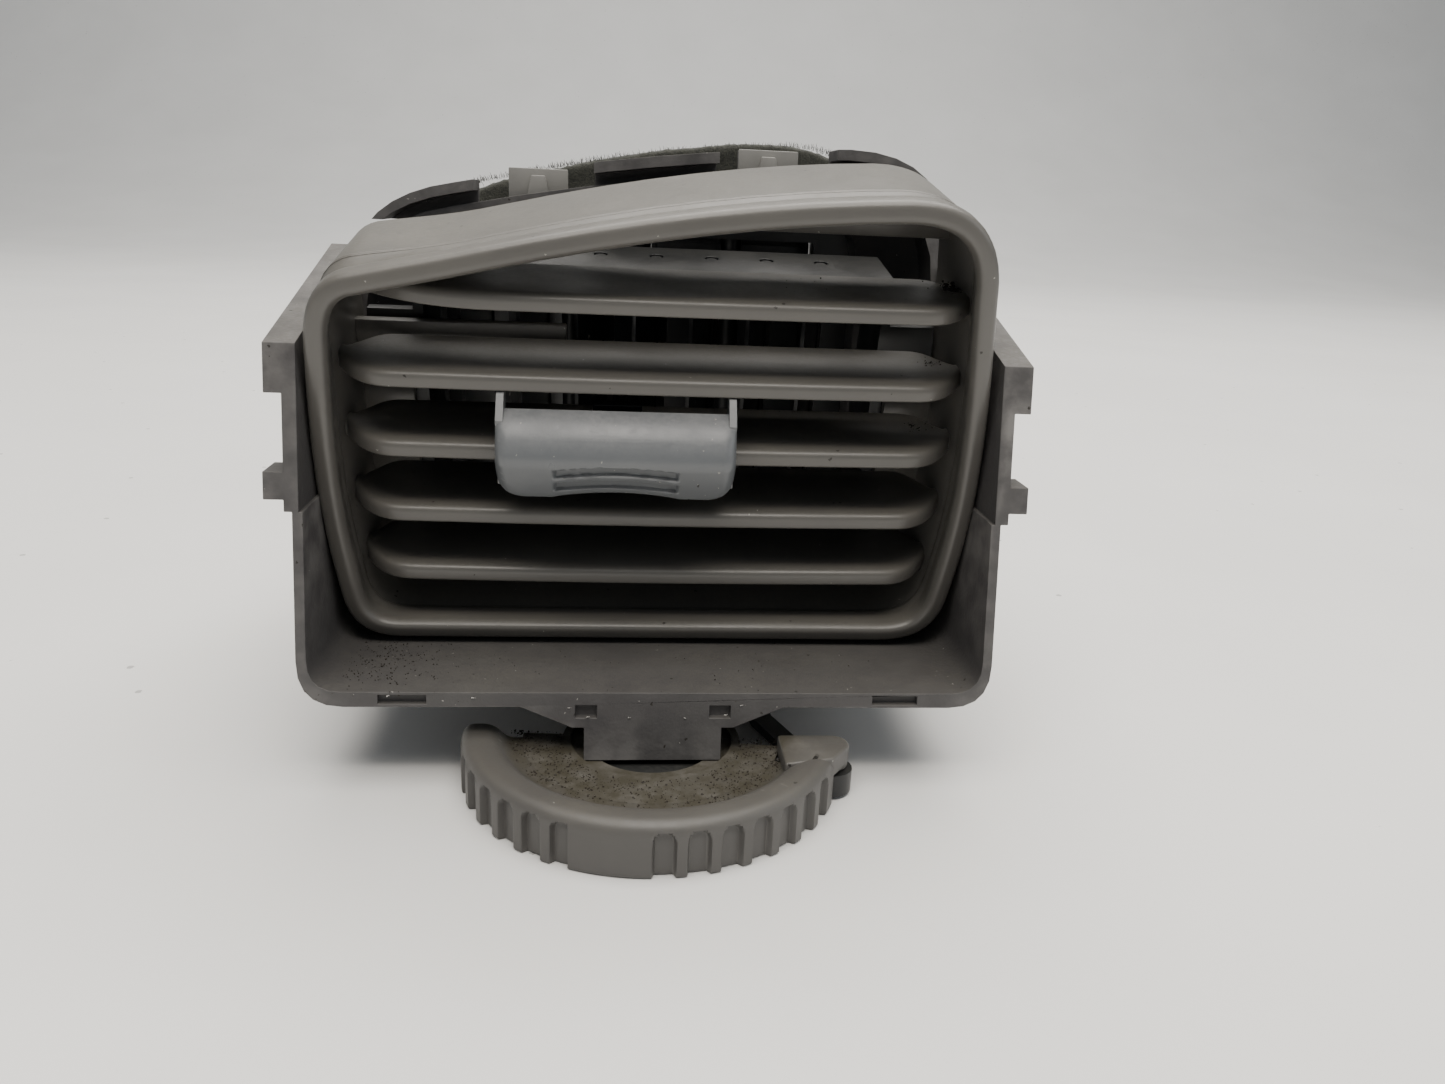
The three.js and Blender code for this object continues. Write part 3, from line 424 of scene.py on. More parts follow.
plasticLooks = {
    "bezelGrey": dict(colour=(0.093, 0.088, 0.08), deep=(0.081, 0.077, 0.071), worn=(0.167, 0.158, 0.143),
                      dustColour=(0.149, 0.14, 0.115), dust=0.18, dustPatches=40.0, speckScale=800.0,
                      darkSpecks=0.012, lightSpecks=0.006, wear=0.35, grain=0.12, grainScale=2600.0,
                      roughness=0.33, specular=0.5),
    "wheelGrey": dict(colour=(0.077, 0.074, 0.07), deep=(0.066, 0.063, 0.06), worn=(0.168, 0.16, 0.148),
                      dustColour=(0.095, 0.087, 0.067), dust=0.2, dustPatches=70.0, speckScale=700.0,
                      darkSpecks=0.01, lightSpecks=0.006, wear=0.8, grain=0.12, grainScale=2600.0,
                      roughness=0.42, specular=0.5, grimeReach=0.0245, grimeColour=(0.046, 0.041, 0.028)),
    "housingGrey": dict(colour=(0.059, 0.057, 0.056), deep=(0.049, 0.046, 0.047), worn=(0.189, 0.182, 0.175),
                        dustColour=(0.085, 0.08, 0.07), dust=0.28, dustPatches=55.0, speckScale=900.0,
                        darkSpecks=0.02, lightSpecks=0.012, wear=0.75, grain=0.35, grainScale=1900.0,
                        roughness=0.52, specular=0.4),
    "knobGrey": dict(colour=(0.114, 0.12, 0.125), deep=(0.095, 0.102, 0.109), worn=(0.216, 0.216, 0.212),
                     dustColour=(0.166, 0.169, 0.173), dust=0.5, dustPatches=320.0, speckScale=900.0,
                     darkSpecks=0.01, lightSpecks=0.05, wear=0.5, grain=0.1, grainScale=2600.0,
                     roughness=0.30, specular=0.6),
    # black plastic of the inner parts; on the wheel hub and the damper frame the same black is painted shade
    "blackAndPaintedShade": dict(colour=(0.010, 0.011, 0.012), deep=(0.007, 0.008, 0.009), worn=(0.03, 0.03, 0.03),
                       dustColour=(0.06, 0.058, 0.05), dust=0.15, dustPatches=60.0, speckScale=300.0,
                       darkSpecks=0.0, lightSpecks=0.012, wear=0.3, grain=0.1, grainScale=2400.0,
                       roughness=0.33, specular=0.5),
    "clearSkin": dict(colour=(0.186, 0.183, 0.171), deep=(0.161, 0.158, 0.149), worn=(0.248, 0.242, 0.229),
                      dustColour=(0.248, 0.242, 0.217), dust=0.3, dustPatches=90.0, speckScale=300.0,
                      darkSpecks=0.01, lightSpecks=0.01, wear=0.4, grain=0.1, grainScale=2400.0,
                      roughness=0.38, specular=0.5),
    "naturalNylon": dict(colour=(0.48, 0.46, 0.41), deep=(0.42, 0.40, 0.35), worn=(0.6, 0.58, 0.53),
                         dustColour=(0.35, 0.33, 0.28), dust=0.3, dustPatches=70.0, speckScale=300.0,
                         darkSpecks=0.01, lightSpecks=0.0, wear=0.3, grain=0.1, grainScale=2400.0,
                         roughness=0.45, specular=0.5),
}
paint = {name: plastic(name, look) for name, look in plasticLooks.items()}


def zincSteel():
    material, tree, shader, place = newMaterial("zincSteel")
    tone = ramp(tree, noiseAt(tree, place, 500.0, 5.0), 0.3, 0.7)
    tree.links.new(mixed(tree, tone, (0.38, 0.38, 0.37), (0.58, 0.58, 0.57)), shader.inputs["Base Color"])
    rough = put(tree, "ShaderNodeMapRange", {"Value": tone, "To Min": 0.28, "To Max": 0.45}).outputs["Result"]
    tree.links.new(rough, shader.inputs["Roughness"])
    shader.inputs["Metallic"].default_value = 1.0
    return material


def sealFoam():
    # felted foam: dark olive with paler fibres and a sheen along its edge
    material, tree, shader, place = newMaterial("sealFoam")
    fibre = put(tree, "ShaderNodeTexNoise", {"Vector": place, "Scale": 1500.0, "Detail": 5.0, "Distortion": 1.5})
    tone = ramp(tree, fibre.outputs["Fac"], 0.35, 0.7)
    colour = mixed(tree, tone, (0.009, 0.010, 0.007), (0.038, 0.039, 0.029))
    tree.links.new(colour, shader.inputs["Base Color"])
    bump = put(tree, "ShaderNodeBump", {"Height": fibre.outputs["Fac"], "Strength": 0.7, "Distance": 0.0004})
    tree.links.new(bump.outputs["Normal"], shader.inputs["Normal"])
    shader.inputs["Roughness"].default_value = 0.95
    shader.inputs["Sheen Weight"].default_value = 0.12
    shader.inputs["Sheen Roughness"].default_value = 0.6
    return material


def flatColours(name, colours, roughness):
    # crumbs and fibres: each is one of a few colours, picked by where it lies
    material, tree, shader, place = newMaterial(name)
    cells = put(tree, "ShaderNodeTexVoronoi", {"Vector": place, "Scale": 700.0})
    pick = put(tree, "ShaderNodeSeparateColor", {"Color": cells.outputs["Color"]}).outputs[0]
    choose = put(tree, "ShaderNodeValToRGB", {"Fac": pick})
    choose.color_ramp.interpolation = "CONSTANT"
    for i, colour in enumerate(colours):
        stop = choose.color_ramp.elements[i] if i < 2 else choose.color_ramp.elements.new(0)
        stop.position = i / len(colours)
        stop.color = (*colour, 1)
    tree.links.new(choose.outputs["Color"], shader.inputs["Base Color"])
    shader.inputs["Roughness"].default_value = roughness
    return material


paint["zincSteel"] = zincSteel()
paint["sealFoam"] = sealFoam()
paint["roadGrit"] = flatColours("roadGrit", [(0.02, 0.015, 0.01), (0.07, 0.05, 0.03), (0.015, 0.014, 0.013),
                                             (0.16, 0.12, 0.06), (0.035, 0.03, 0.025), (0.28, 0.25, 0.18)], 0.9)
paint["paleFlash"] = flatColours("paleFlash", [(0.34, 0.33, 0.31), (0.42, 0.41, 0.39), (0.26, 0.25, 0.24)], 0.6)
paint["foamFibre"] = flatColours("foamFibre", [(0.014, 0.015, 0.011), (0.03, 0.031, 0.023), (0.01, 0.011, 0.008),
                                               (0.055, 0.056, 0.044)], 0.95)
print("materials ready")


bezelSize = dict(halfWidth=52.8, drop=36.0, rise=41.2, fall=14.4, corner=13.0, front=-24.0, back=6.0, wall=2.0,
                 lipLeft=1.35, lipRight=0.3, lipRightLow=1.1, lipLimit=54.15, lipLimitLow=53.55, lipDrop=0.6,
                 lipStart=-14.0, lipEase=5.0, shoulder=(-47.0, 24.0), shoulderReach=11.0,
                 shoulderGrow=(-1.9, 1.6))
trunnionSize = dict(radius=4.0, length=4.6, middle=53.9, soft=0.4)
ledgeSize = dict(inner=42.2, outer=51.0, low=-23.0, high=7.0, front=1.0, back=3.0)


def bezelLoop(count=260):
    s = bezelSize
    side, low, high = s["halfWidth"], -s["drop"], s["rise"]
    tuck, shoulder, corner = side - 1.6, high - s["fall"], s["corner"]
    strokes = [
        [(side - corner, low)], [(side - 2.6, low), (tuck, low + corner - 3)],
        [(side + 0.5, low + 24), (side + 0.5, high - 32), (tuck, high - corner - 2)],
        [(side - 2.2, high + 0.3), (side - corner - 4, high)], [(0, high - 1.5), (9 - side, shoulder)],
        [(1.8 - side, shoulder - 1.3), (1 - side, shoulder - corner + 2)],
        [(-side - 0.4, shoulder - 24), (-side - 0.4, low + 24), (-tuck, low + corner - 3)],
        [(2.2 - side, low), (corner - 2 - side, low)]]
    return evenLoop(pathOf((corner - 2 - side, low), strokes)[:-1], count)


def bezelProfile():
    # how far out of the outline, and where along Y: barrel wall, crease, rolled lip, inner wall
    s = bezelSize
    front, back, wall = s["front"], s["back"], s["wall"]
    crease = front + 8.6
    lip = filleted([(0.0, front + 4.6), (-0.25, front + 0.55), (-3.0, front - 0.15), (-3.75, front + 1.3),
                    (-3.3, front + 4.4), (-wall, front + 8)], [1.6, 1.15, 0.9, 0.6, 1.5, 1.5], 5)
    outer = filleted([(-wall + 0.5, back), (-0.35, back), (-0.35, crease + 0.5), (-0.62, crease + 0.15),
                      (-0.28, crease - 0.7)], [0.2, 0.4, 0.4, 0.25, 0.6], 3)
    return outer + lip + filleted([(-wall, front + 9), (-wall, back)], [0, 0])


def roofHeight(loop, x):
    return max(p.y for p in loop if abs(p.x - x) < 1.6)


def makeDrum():
    s = bezelSize
    bm = bmesh.new()
    loop = bezelLoop()
    sweptWall(bm, loop, bezelProfile())
    closeUp(bm)
    for corner in bm.verts:  # the rolled lip stands a little wider than the barrel behind it
        share = min(max((s["lipStart"] - corner.co.y) / s["lipEase"], 0), 1) ** 2
        across = corner.co.x / s["halfWidth"]
        low = min(max((20 - corner.co.z) / 28, 0), 1)
        grow = s["lipLeft"] + 0.2 * low if across < 0 else s["lipRight"] + s["lipRightLow"] * low
        limit = s["lipLimit"] if corner.co.z > -13 else s["lipLimitLow"]
        moved = corner.co.x + share * grow * across
        corner.co.x = max(-limit, min(limit, moved)) if abs(across) > 0.9 and share > 0 else moved
        corner.co.z -= share * s["lipDrop"] * min(max((-20 - corner.co.z) / 12, 0), 1)
        away = (corner.co.xz - Vector(s["shoulder"])).length / s["shoulderReach"]
        swell = math.exp(-away * away) * (1 - 0.65 * share)
        corner.co.x += swell * s["shoulderGrow"][0]
        corner.co.z += swell * s["shoulderGrow"][1]
    side = s["halfWidth"] - 1
    prism(bm, [(-side, 7.6), (-15.5, 7.6), (-15.5, 12.7), (-side, 12.7)], -0.6, 1.4, "Y", 0.25)
    xs = [8 + 41 * i / 9 for i in range(10)]
    roof = [(x, min(roofHeight(loop, x) - 1, 40)) for x in reversed(xs)]
    prism(bm, [(8, 30.6), (50.8, 30.6)] + roof, -2, 0, "Y", 0.2)
    pin, shelf = trunnionSize, ledgeSize
    for end in (-1, 1):
        place = Matrix.Translation((end * pin["middle"], 0, 0)) @ Matrix.Rotation(math.pi / 2, 4, "Y")
        post = bmesh.ops.create_cone(bm, cap_ends=True, segments=40, radius1=pin["radius"],
                                     radius2=pin["radius"], depth=pin["length"], matrix=place)["verts"]
        rims = {e for v in post for e in v.link_edges if abs(e.verts[0].co.x - e.verts[1].co.x) < 1e-6}
        easeEdges(bm, list(rims), pin["soft"], 3)
        left, right = sorted((end * shelf["inner"], end * shelf["outer"]))
        outline = [(left, shelf["low"]), (right, shelf["low"]), (right, shelf["high"]), (left, shelf["high"])]
        prism(bm, outline, shelf["front"], shelf["back"], "Y", 0.2)
    faceOut(bm)
    newPiece("drumMoulding", bm, drumPlace, "drum", paint["bezelGrey"], ["drum_shell"])


makeDrum()
print("drum made")


vaneSize = dict(heights=[23.2, 10.4, -1.4, -13.0, -24.2], front=-22.2, chord=20.0, nose=2.7, tail=1.2, stub=1.35,
                stubBehind=9.0, sweep=9.5, bow=0.8)


def halfOpening(z):
    middle = (bezelSize["rise"] - bezelSize["drop"]) / 2
    return bezelSize["halfWidth"] - bezelSize["wall"] - 3 * (abs(z - middle) / 38) ** 4


def vaneSection(front, back, thick, tail):
    # closed section in YZ: flat face with eased edges, thinning towards the back
    corners = [(front, -thick / 2), (front + 0.25, thick / 2), (front + 4.0, thick / 2 + 0.05),
               (back, tail / 2), (back, -tail / 2), (front + 3.0, -thick / 2)]
    return filleted(corners, [0.45, 1.75, 1.8, 0.4, 0.4, 1.2], 7)


def vaneFrontAt(reach, sweep, depth):
    # how far the front edge stands back, going in from the vane's end
    share = min(max(reach / sweep, 0), 1)
    return depth * (1 - share) ** 2.4


def makeVane(number, z, leftEnd, rightEnd, leftSweep, leftStub=3.5):
    s = vaneSize
    stubY = s["front"] + s["stubBehind"]
    length = rightEnd - leftEnd
    stations = [0.0, 0.5, 1.0, 1.5, 2.0, 2.6, 3.3, 4.1, 5.0, 6.0, 7.2, 8.6, 10.2, 12.0, 14.5, 18.0, 22.0, 26.0]
    middle = [leftEnd + 26 + (length - 52) * i / 12 for i in range(1, 12)]
    places = [leftEnd + t for t in stations] + middle + [rightEnd - t for t in reversed(stations)]
    bm = bmesh.new()
    ring = None
    for x in places:
        inLeft, inRight = x - leftEnd, rightEnd - x
        edge = min(inLeft, inRight)
        sweep = leftSweep if inLeft < inRight else s["sweep"]
        open_ = min(edge / 2.2, 1) ** 0.7  # 0 at the stub, 1 where the blade is full
        bowed = s["bow"] * (1 - (2 * (x - leftEnd) / length - 1) ** 2)
        front = s["front"] + s["bow"] + vaneFrontAt(edge, sweep, s["stubBehind"] - s["stub"]) - bowed
        back = s["front"] + s["chord"] - vaneFrontAt(edge, 7.0, s["chord"] - s["stubBehind"] - s["stub"])
        thick = 2 * s["stub"] + (s["nose"] - 2 * s["stub"]) * open_
        tail = 2 * s["stub"] + (s["tail"] - 2 * s["stub"]) * open_
        section = vaneSection(front, back, thick, tail)
        corners = [(x, p.x, z + p.y) for p in section]
        if ring is None:
            stub = [(x - leftStub, stubY + (c[1] - stubY) * 0.72, z + (c[2] - z) * 0.72) for c in corners]
            ring = firstRing(bm, stub)
            capRing(bm, ring)
        ring = nextRing(bm, ring, corners)
    ring = nextRing(bm, ring, [(x + 3.5, stubY + (c[1] - stubY) * 0.72, z + (c[2] - z) * 0.72) for c in corners])
    capRing(bm, ring)
    closeUp(bm)
    name = f"vaneBlade{number}"
    newPiece(name, bm, drumPlace, "drum", paint["bezelGrey"], [f"horizontal_vane_{number}"], 50)


for index, height in enumerate(vaneSize["heights"]):
    wall = halfOpening(height) - 0.2
    if index == 0:
        makeVane(1, height, -wall + 3.9, wall, 22.0, 0.8)
    else:
        makeVane(index + 1, height, -wall, wall, vaneSize["sweep"])
print("vanes made")


knobSize = dict(half=18.8, edgeRound=2.2, wall=1.5, cornerRise=4.6, archHalf=10.0, archRise=1.0, sideDepth=3.6,
                grooveHalf=9.6, grooveDepth=0.9, grooveWide=1.35, grooveDrop=[-1.7, -4.0], grooveBend=0.75,
                cheekIn=17.6, hollow=1.6, backLimit=-19.6)


def knobSpine():
    # side view of the knob's skin in YZ, from the back of its top to the back of its underside
    return pathOf((-22.9, 6.7), [[(-26.2, 5.6), (-27.9, 3.2)], [(-29.4, 1.2), (-29.3, -0.6)],
                                 [(-28.95, -3.6), (-28.35, -5.2)], [(-28.0, -6.35), (-27.0, -6.3)],
                                 [(-25.2, -6.1)], [(-23.9, -5.9)]], 12)


def alongPath(path, share):
    lengths = [(b - a).length for a, b in zip(path, path[1:])]
    want = share * sum(lengths)
    for a, b, length in zip(path, path[1:], lengths):
        if want <= length or b is path[-1]:
            return a.lerp(b, min(want / length, 1))
        want -= length


def knobPoint(u, v, spine):
    s = knobSize
    quarter = s["edgeRound"] * math.pi / 2
    flat = s["half"] - s["edgeRound"]
    total = flat + quarter + s["sideDepth"]
    reach = abs(u) * total
    side = math.copysign(1, u)
    if reach < flat:
        x, back = reach, 0.0
    elif reach < flat + quarter:
        angle = (reach - flat) / s["edgeRound"]
        x, back = flat + s["edgeRound"] * math.sin(angle), s["edgeRound"] * (1 - math.cos(angle))
    else:
        x, back = s["half"], s["edgeRound"] + reach - flat - quarter
    x *= side
    p = alongPath(spine, v)
    y, z = p.x + back * (0.55 + 0.45 * min(1, max(0, (6.7 - p.y) / 4))), p.y
    if z < 0:
        arch = s["archRise"] * max(0.0, math.cos(min(abs(x) / s["archHalf"], 1) * math.pi / 2)) ** 0.8
        corner = max(0.0, abs(x) - (s["half"] - s["cornerRise"])) / s["cornerRise"]
        rise = arch + s["cornerRise"] * (1 - math.sqrt(max(0.0, 1 - min(corner, 1) ** 2))) * 0.8
        z += rise * min(1.0, -z / 5.5)
    for drop in s["grooveDrop"]:
        line = drop + s["grooveBend"] * math.cos(min(abs(x) / s["archHalf"], 1) * math.pi / 2)
        off = abs(z - line) / (s["grooveWide"] / 2)
        end = (s["grooveHalf"] - abs(x)) / 0.5
        if p.x < -27.2 and off < 1.25 and end > -0.5:
            depth = min(1, max(0, (1.25 - off) / 0.45)) * min(1, max(0, end + 0.5))
            y += s["grooveDepth"] * depth * depth * (3 - 2 * depth)
    return Vector((x, y, z))


def makeKnob():
    bm = bmesh.new()
    spine = knobSpine()
    bmesh.ops.create_grid(bm, x_segments=230, y_segments=120, size=1)
    for corner in bm.verts:
        corner.co = knobPoint(corner.co.x, (1 - corner.co.y) / 2, spine)
    faceOut(bm)
    if sum(face.normal.y for face in bm.faces) > 0:
        bmesh.ops.reverse_faces(bm, faces=bm.faces)
    # the open back gets a rim, a short hollow and a floor
    s = knobSize
    rim = [edge for edge in bm.edges if edge.is_boundary]
    for inset, deeper in ((s["wall"], 0.0), (0.0, s["hollow"])):
        made = bmesh.ops.extrude_edge_only(bm, edges=rim)["geom"]
        rim = [item for item in made if isinstance(item, bmesh.types.BMEdge) and item.is_boundary]
        for corner in {v for edge in rim for v in edge.verts}:
            corner.co.x *= 1 - inset / s["half"]
            corner.co.z += inset * min(max((0.5 - corner.co.z) / 5, -1), 1)
            corner.co.y = min(corner.co.y, s["backLimit"]) - deeper
    bmesh.ops.edgeloop_fill(bm, edges=rim)
    faceOut(bm)
    newPiece("knobCap", bm, knobPlace, "knob", paint["knobGrey"], ["slide_knob"], 60)
    cheeks = bmesh.new()
    outline = [(-25.4, 5.6), (-24.9, -5.4), (-19.6, -5.2), (-19.6, -3.1), (-22.9, -3.1), (-22.9, 0.3),
               (-19.6, 0.3), (-19.6, 8.9), (-22.3, 8.9)]
    for end in (-1, 1):
        low, high = sorted((end * knobSize["cheekIn"], end * (knobSize["half"] - 0.05)))
        prism(cheeks, outline, low, high, "X")
    faceOut(cheeks)
    newPiece("knobCheeks", cheeks, knobPlace, "knob", paint["knobGrey"])


makeKnob()
softened("knob_clip", "knobClipEased", "knob", paint["blackAndPaintedShade"], 0.2)
print("knob made")


wheelSize = dict(radius=31.0, height=8.7, rimWidth=6.5, webTop=6.2, webThick=2.2, well=13.3, wellWall=1.4,
                 hubLow=2.7, hubThick=2.0, start=-180.0, end=-22.0, pitch=9.4, groove=3.15, depth=1.0,
                 grooveTop=7.1, blank=-105.0, blankSpan=14.0, earInset=1.04, earAngle=-12.9, ledge=10.4)


def smoothStep(value):
    value = min(1.0, max(0.0, value))
    return value * value * (3 - 2 * value)


def spunSolid(bm, profile, start, end, steps):
    # a solid of revolution about Z over part of a turn, closed at both ends
    a, b = math.radians(start), math.radians(end)
    ring = firstRing(bm, [(p[0] * math.cos(a), p[0] * math.sin(a), p[1]) for p in profile])
    capRing(bm, ring)
    for i in range(1, steps + 1):
        t = a + (b - a) * i / steps
        ring = nextRing(bm, ring, [(p[0] * math.cos(t), p[0] * math.sin(t), p[1]) for p in profile])
    capRing(bm, ring)


def grooveAt(angle, z):
    # 0 on a rib, 1 in a groove; grooves have round tops and stop under the shoulder
    s = wheelSize
    if abs(angle - s["blank"]) < s["blankSpan"] / 2 + s["pitch"] * 0.2:
        return 0.0
    first = s["start"] + s["pitch"] * 0.8
    nearest = first + round((angle - first) / s["pitch"]) * s["pitch"]
    if abs(nearest - s["blank"]) < s["blankSpan"] / 2 + s["pitch"] * 0.2 or nearest > s["end"] - 2:
        return 0.0
    across = abs(math.radians(angle - nearest)) * s["radius"]
    half = s["groove"] / 2
    top = s["grooveTop"] - 0.9 * max(0.0, across / half) ** 3
    return smoothStep((half - across) / 0.42 + 0.5) * smoothStep((top - z) / 0.42 + 0.5)


def makeWheel():
    s = wheelSize
    bm = bmesh.new()
    r, h, inner = s["radius"], s["height"], s["radius"] - s["rimWidth"]
    bottom = s["webTop"] - s["webThick"]
    rim = filleted([(inner + 2, bottom), (inner + 2, 0), (r, 0), (r, h), (inner + 1.3, h),
                    (inner - 0.9, s["webTop"]), (inner - 3.4, s["webTop"]), (inner - 3.4, bottom)],
                   [0, 0.4, 0.6, 3.1, 2.0, 1.6, 0, 0], 12)
    outer = []
    for p, q in zip(rim, rim[1:] + rim[:1]):
        outer.append(p)
        if p.x > r - 0.01 and q.x > r - 0.01 and (q - p).length > 1:
            outer += [p.lerp(q, k / 24) for k in range(1, 24)]
    spunSolid(bm, outer, s["start"], s["end"], 520)
    closeUp(bm)
    for corner in bm.verts:
        radius = math.hypot(corner.co.x, corner.co.y)
        if radius < r - 3.2:
            continue
        angle = math.degrees(math.atan2(corner.co.y, corner.co.x))
        angle = angle - 360 if angle > 90 else angle
        cut = s["depth"] * grooveAt(angle, corner.co.z) * smoothStep((radius - (r - 2.2)) / 1.2)
        corner.co.x *= 1 - cut / radius
        corner.co.y *= 1 - cut / radius
    ends = []
    for edge in bm.edges:
        a, b = (corner.co for corner in edge.verts)
        runs = abs(math.hypot(*a.xy) - math.hypot(*b.xy)) + abs(a.z - b.z)
        if edge.is_manifold and edge.calc_face_angle(0) > 1.2 and runs > 1e-4:
            ends.append(edge)
    easeEdges(bm, ends, 0.35, 2)
    webEdge = inner - 3.35
    web = [(s["well"] - 0.1, bottom), (webEdge, bottom), (webEdge, s["webTop"]), (s["well"], s["webTop"])]
    spunSolid(bm, [Vector(p) for p in web], s["start"] - 4, s["earAngle"] + 4, 60)
    top = s["webTop"] - 0.2
    collar = [(s["well"] + 0.05, s["hubLow"]), (s["well"] + s["wellWall"], s["hubLow"]),
              (s["well"] + s["wellWall"], top), (s["well"] + 0.05, top)]
    spunSolid(bm, [Vector(p) for p in collar], 0, 359.9, 90)
    ledge = [(s["ledge"], 4.4), (s["well"] + 0.6, 4.4), (s["well"] + 0.6, 5.35), (s["ledge"], 5.35)]
    spunSolid(bm, [Vector(p) for p in ledge], 0, 359.9, 90)
    addEar(bm)
    closeUp(bm)
    newPiece("thumbwheelMoulding", bm, wheelPlace, "thumbwheel", paint["wheelGrey"], ["thumbwheel"], 42)


def makeShadedHub():
    # the hub disc is painted black as painted shade: it stands for the shadow down in the hub hole under the web
    s = wheelSize
    bm = bmesh.new()
    roundPost(bm, (0, 0), s["well"] + 0.5, s["hubLow"], s["hubLow"] + s["hubThick"] - 0.2, 0.3, 64)
    faceOut(bm)
    newPiece("wheelHubPaintedShade", bm, wheelPlace, "thumbwheel", paint["blackAndPaintedShade"])


def addEar(bm):
    s = wheelSize
    reach = s["radius"] - s["earInset"]
    angle = math.radians(s["earAngle"])
    ear = Vector((reach * math.cos(angle), reach * math.sin(angle)))
    inner = s["radius"] - s["rimWidth"]
    tab = [(inner - 4, ear.y - 7), (s["radius"] - 2.6, ear.y - 5.4), (ear.x + 1.7, ear.y - 2.2)]
    for i in range(9):
        t = -0.5 + 2.07 * i / 8
        tab.append((ear.x + 2.7 * math.cos(t), ear.y + 2.7 * math.sin(t)))
    tab += [(inner - 4, ear.y + 2.7)]
    prism(bm, tab, s["webTop"] - 1, s["height"], "Z", 0.45, 3)
    roundPost(bm, ear, 2.65, 4.7, s["height"] - 0.2, 0.4)
    roundPost(bm, ear, 1.5, 0.4, 5.4, 0.2, 24)


makeWheel()
makeShadedHub()
for node, name, body, slotName, material, width in [
        ("wheel_screw", "wheelScrewEased", "housing", "steel", "zincSteel", 0.2),
        ("wheel_washer", "wheelWasherEased", "housing", "steel", "zincSteel", 0.1),
        ("damper_link_rod", "linkRodEased", "damper_link_rod", "black", "blackAndPaintedShade", 0.45)]:
    softened(node, name, body, paint[material], width)
print("thumbwheel made")


for node, name, body, slotName, material, width in [
        ("front_housing", "frontHousingEased", "housing", "housing", "housingGrey", 0.32),
        ("rear_housing", "rearHousingEased", "housing", "housing", "housingGrey", 0.3),
        # the damper frame is painted black as painted shade, for the darkness inside the duct behind the louvre
        ("damper_frame", "damperFrameShadedBlack", "housing", "housing", "blackAndPaintedShade", 0.3),
        ("pivot_bush_left", "bushLeftEased", "housing", "nylon", "naturalNylon", 0.2),
        ("pivot_bush_right", "bushRightEased", "housing", "nylon", "naturalNylon", 0.2),
        ("vane_frame", "vaneFrameEased", "drum", "black", "blackAndPaintedShade", 0.25),
        ("friction_ring_left", "ringLeftEased", "drum", "black", "blackAndPaintedShade", 0.15),
        ("friction_ring_right", "ringRightEased", "drum", "black", "blackAndPaintedShade", 0.15)]:
    softened(node, name, body, paint[material], width)
for number in range(1, 8):
    node = f"vertical_vane_{number}"
    softened(node, f"uprightVane{number}", node, paint["blackAndPaintedShade"], 0.25)
softened("vane_link_bar", "vaneLinkBarEased", "vane_link_bar", paint["blackAndPaintedShade"], 0.2)
for sideName in ("left", "right"):
    body = f"damper_{sideName}"
    softened(f"damper_blade_{sideName}", f"damperBlade_{sideName}", body, paint["blackAndPaintedShade"], 0.3)
    softened(f"damper_crank_{sideName}", f"damperCrank_{sideName}", body, paint["blackAndPaintedShade"], 0.25)
softened("damper_tie_bar", "tieBarEased", "damper_tie_bar", paint["blackAndPaintedShade"], 0.3)

damperSize = dict(spacing=34.0, y=86.0, rest=6.0, inner=17.1, outer=17.35, low=24.96, high=84.04, thick=0.9)


def makeBladeLip(sideName, side):
    # a thin rubber flap on each damper blade that closes its window
    s = damperSize
    bm = bmesh.new()
    ends = sorted((-side * s["inner"], side * s["outer"]))
    outline = filleted([(ends[0], s["low"]), (ends[1], s["low"]), (ends[1], s["high"]), (ends[0], s["high"])],
                       [0.6, 0.6, 0.6, 0.6], 3)
    prism(bm, outline, -s["thick"] / 2, s["thick"] / 2, "Y", 0.2)
    faceOut(bm)
    pivot = Matrix.Translation((side * s["spacing"] / 2, s["y"] - trunnionDepth, 0))
    place = ventPlace @ pivot @ Matrix.Rotation(math.radians(s["rest"]), 4, "Z")
    newPiece(f"bladeLip_{sideName}", bm, place, f"damper_{sideName}", paint["blackAndPaintedShade"])


makeBladeLip("left", -1)
makeBladeLip("right", 1)
tongueSize = dict(back=59.9 - trunnionDepth, front=60.35 - trunnionDepth)
tongues = [(-27.3, -16.5, 90.0, 95.95), (15.3, 26.5, 95.0, 101.15)]


def makeTongueSkins():
    # the snap tongues' thin front faces with a raised middle that narrows upwards
    s = tongueSize
    bm = bmesh.new()
    for left, right, low, high in tongues:
        middle, half = (left + right) / 2, (right - left) / 2
        prism(bm, [(left - 0.05, low), (right + 0.05, low), (right + 0.05, high), (left - 0.05, high)],
              s["back"] - 0.05, s["front"], "Y", 0.2)
        prism(bm, [(middle - half * 0.42, low), (middle + half * 0.42, low), (middle + half * 0.24, high - 1.2),
                   (middle - half * 0.24, high - 1.2)], s["back"] - 0.9, s["back"], "Y", 0.25)
    faceOut(bm)
    newPiece("snapTongueSkins", bm, ventPlace, "housing", paint["clearSkin"])


makeTongueSkins()
print("housing and damper made")


foamSize = dict(halfWidth=45.0, floor=17.0, top=97.8, fall=9.0, thick=5.7, gap=0.35, start=51.8, end=64.4,
                fuzz=0.35, fibres=5200, fibreLength=1.6)


def ductLoop(halfWidth, low, top, count=300):
    fall = foamSize["fall"]
    strokes = [
        [(halfWidth - 8, low)], [(halfWidth, low), (halfWidth, low + 8)], [(halfWidth, top - 18)],
        [(halfWidth - 0.5, top), (halfWidth - 20, top)], [(0, top - 1.2), (19 - halfWidth, top - fall)],
        [(1 - halfWidth, top - fall - 3), (-halfWidth, top - fall - 17)], [(-halfWidth, low + 8)],
        [(-halfWidth, low), (8 - halfWidth, low)]]
    return evenLoop(pathOf((8 - halfWidth, low), strokes)[:-1], count)


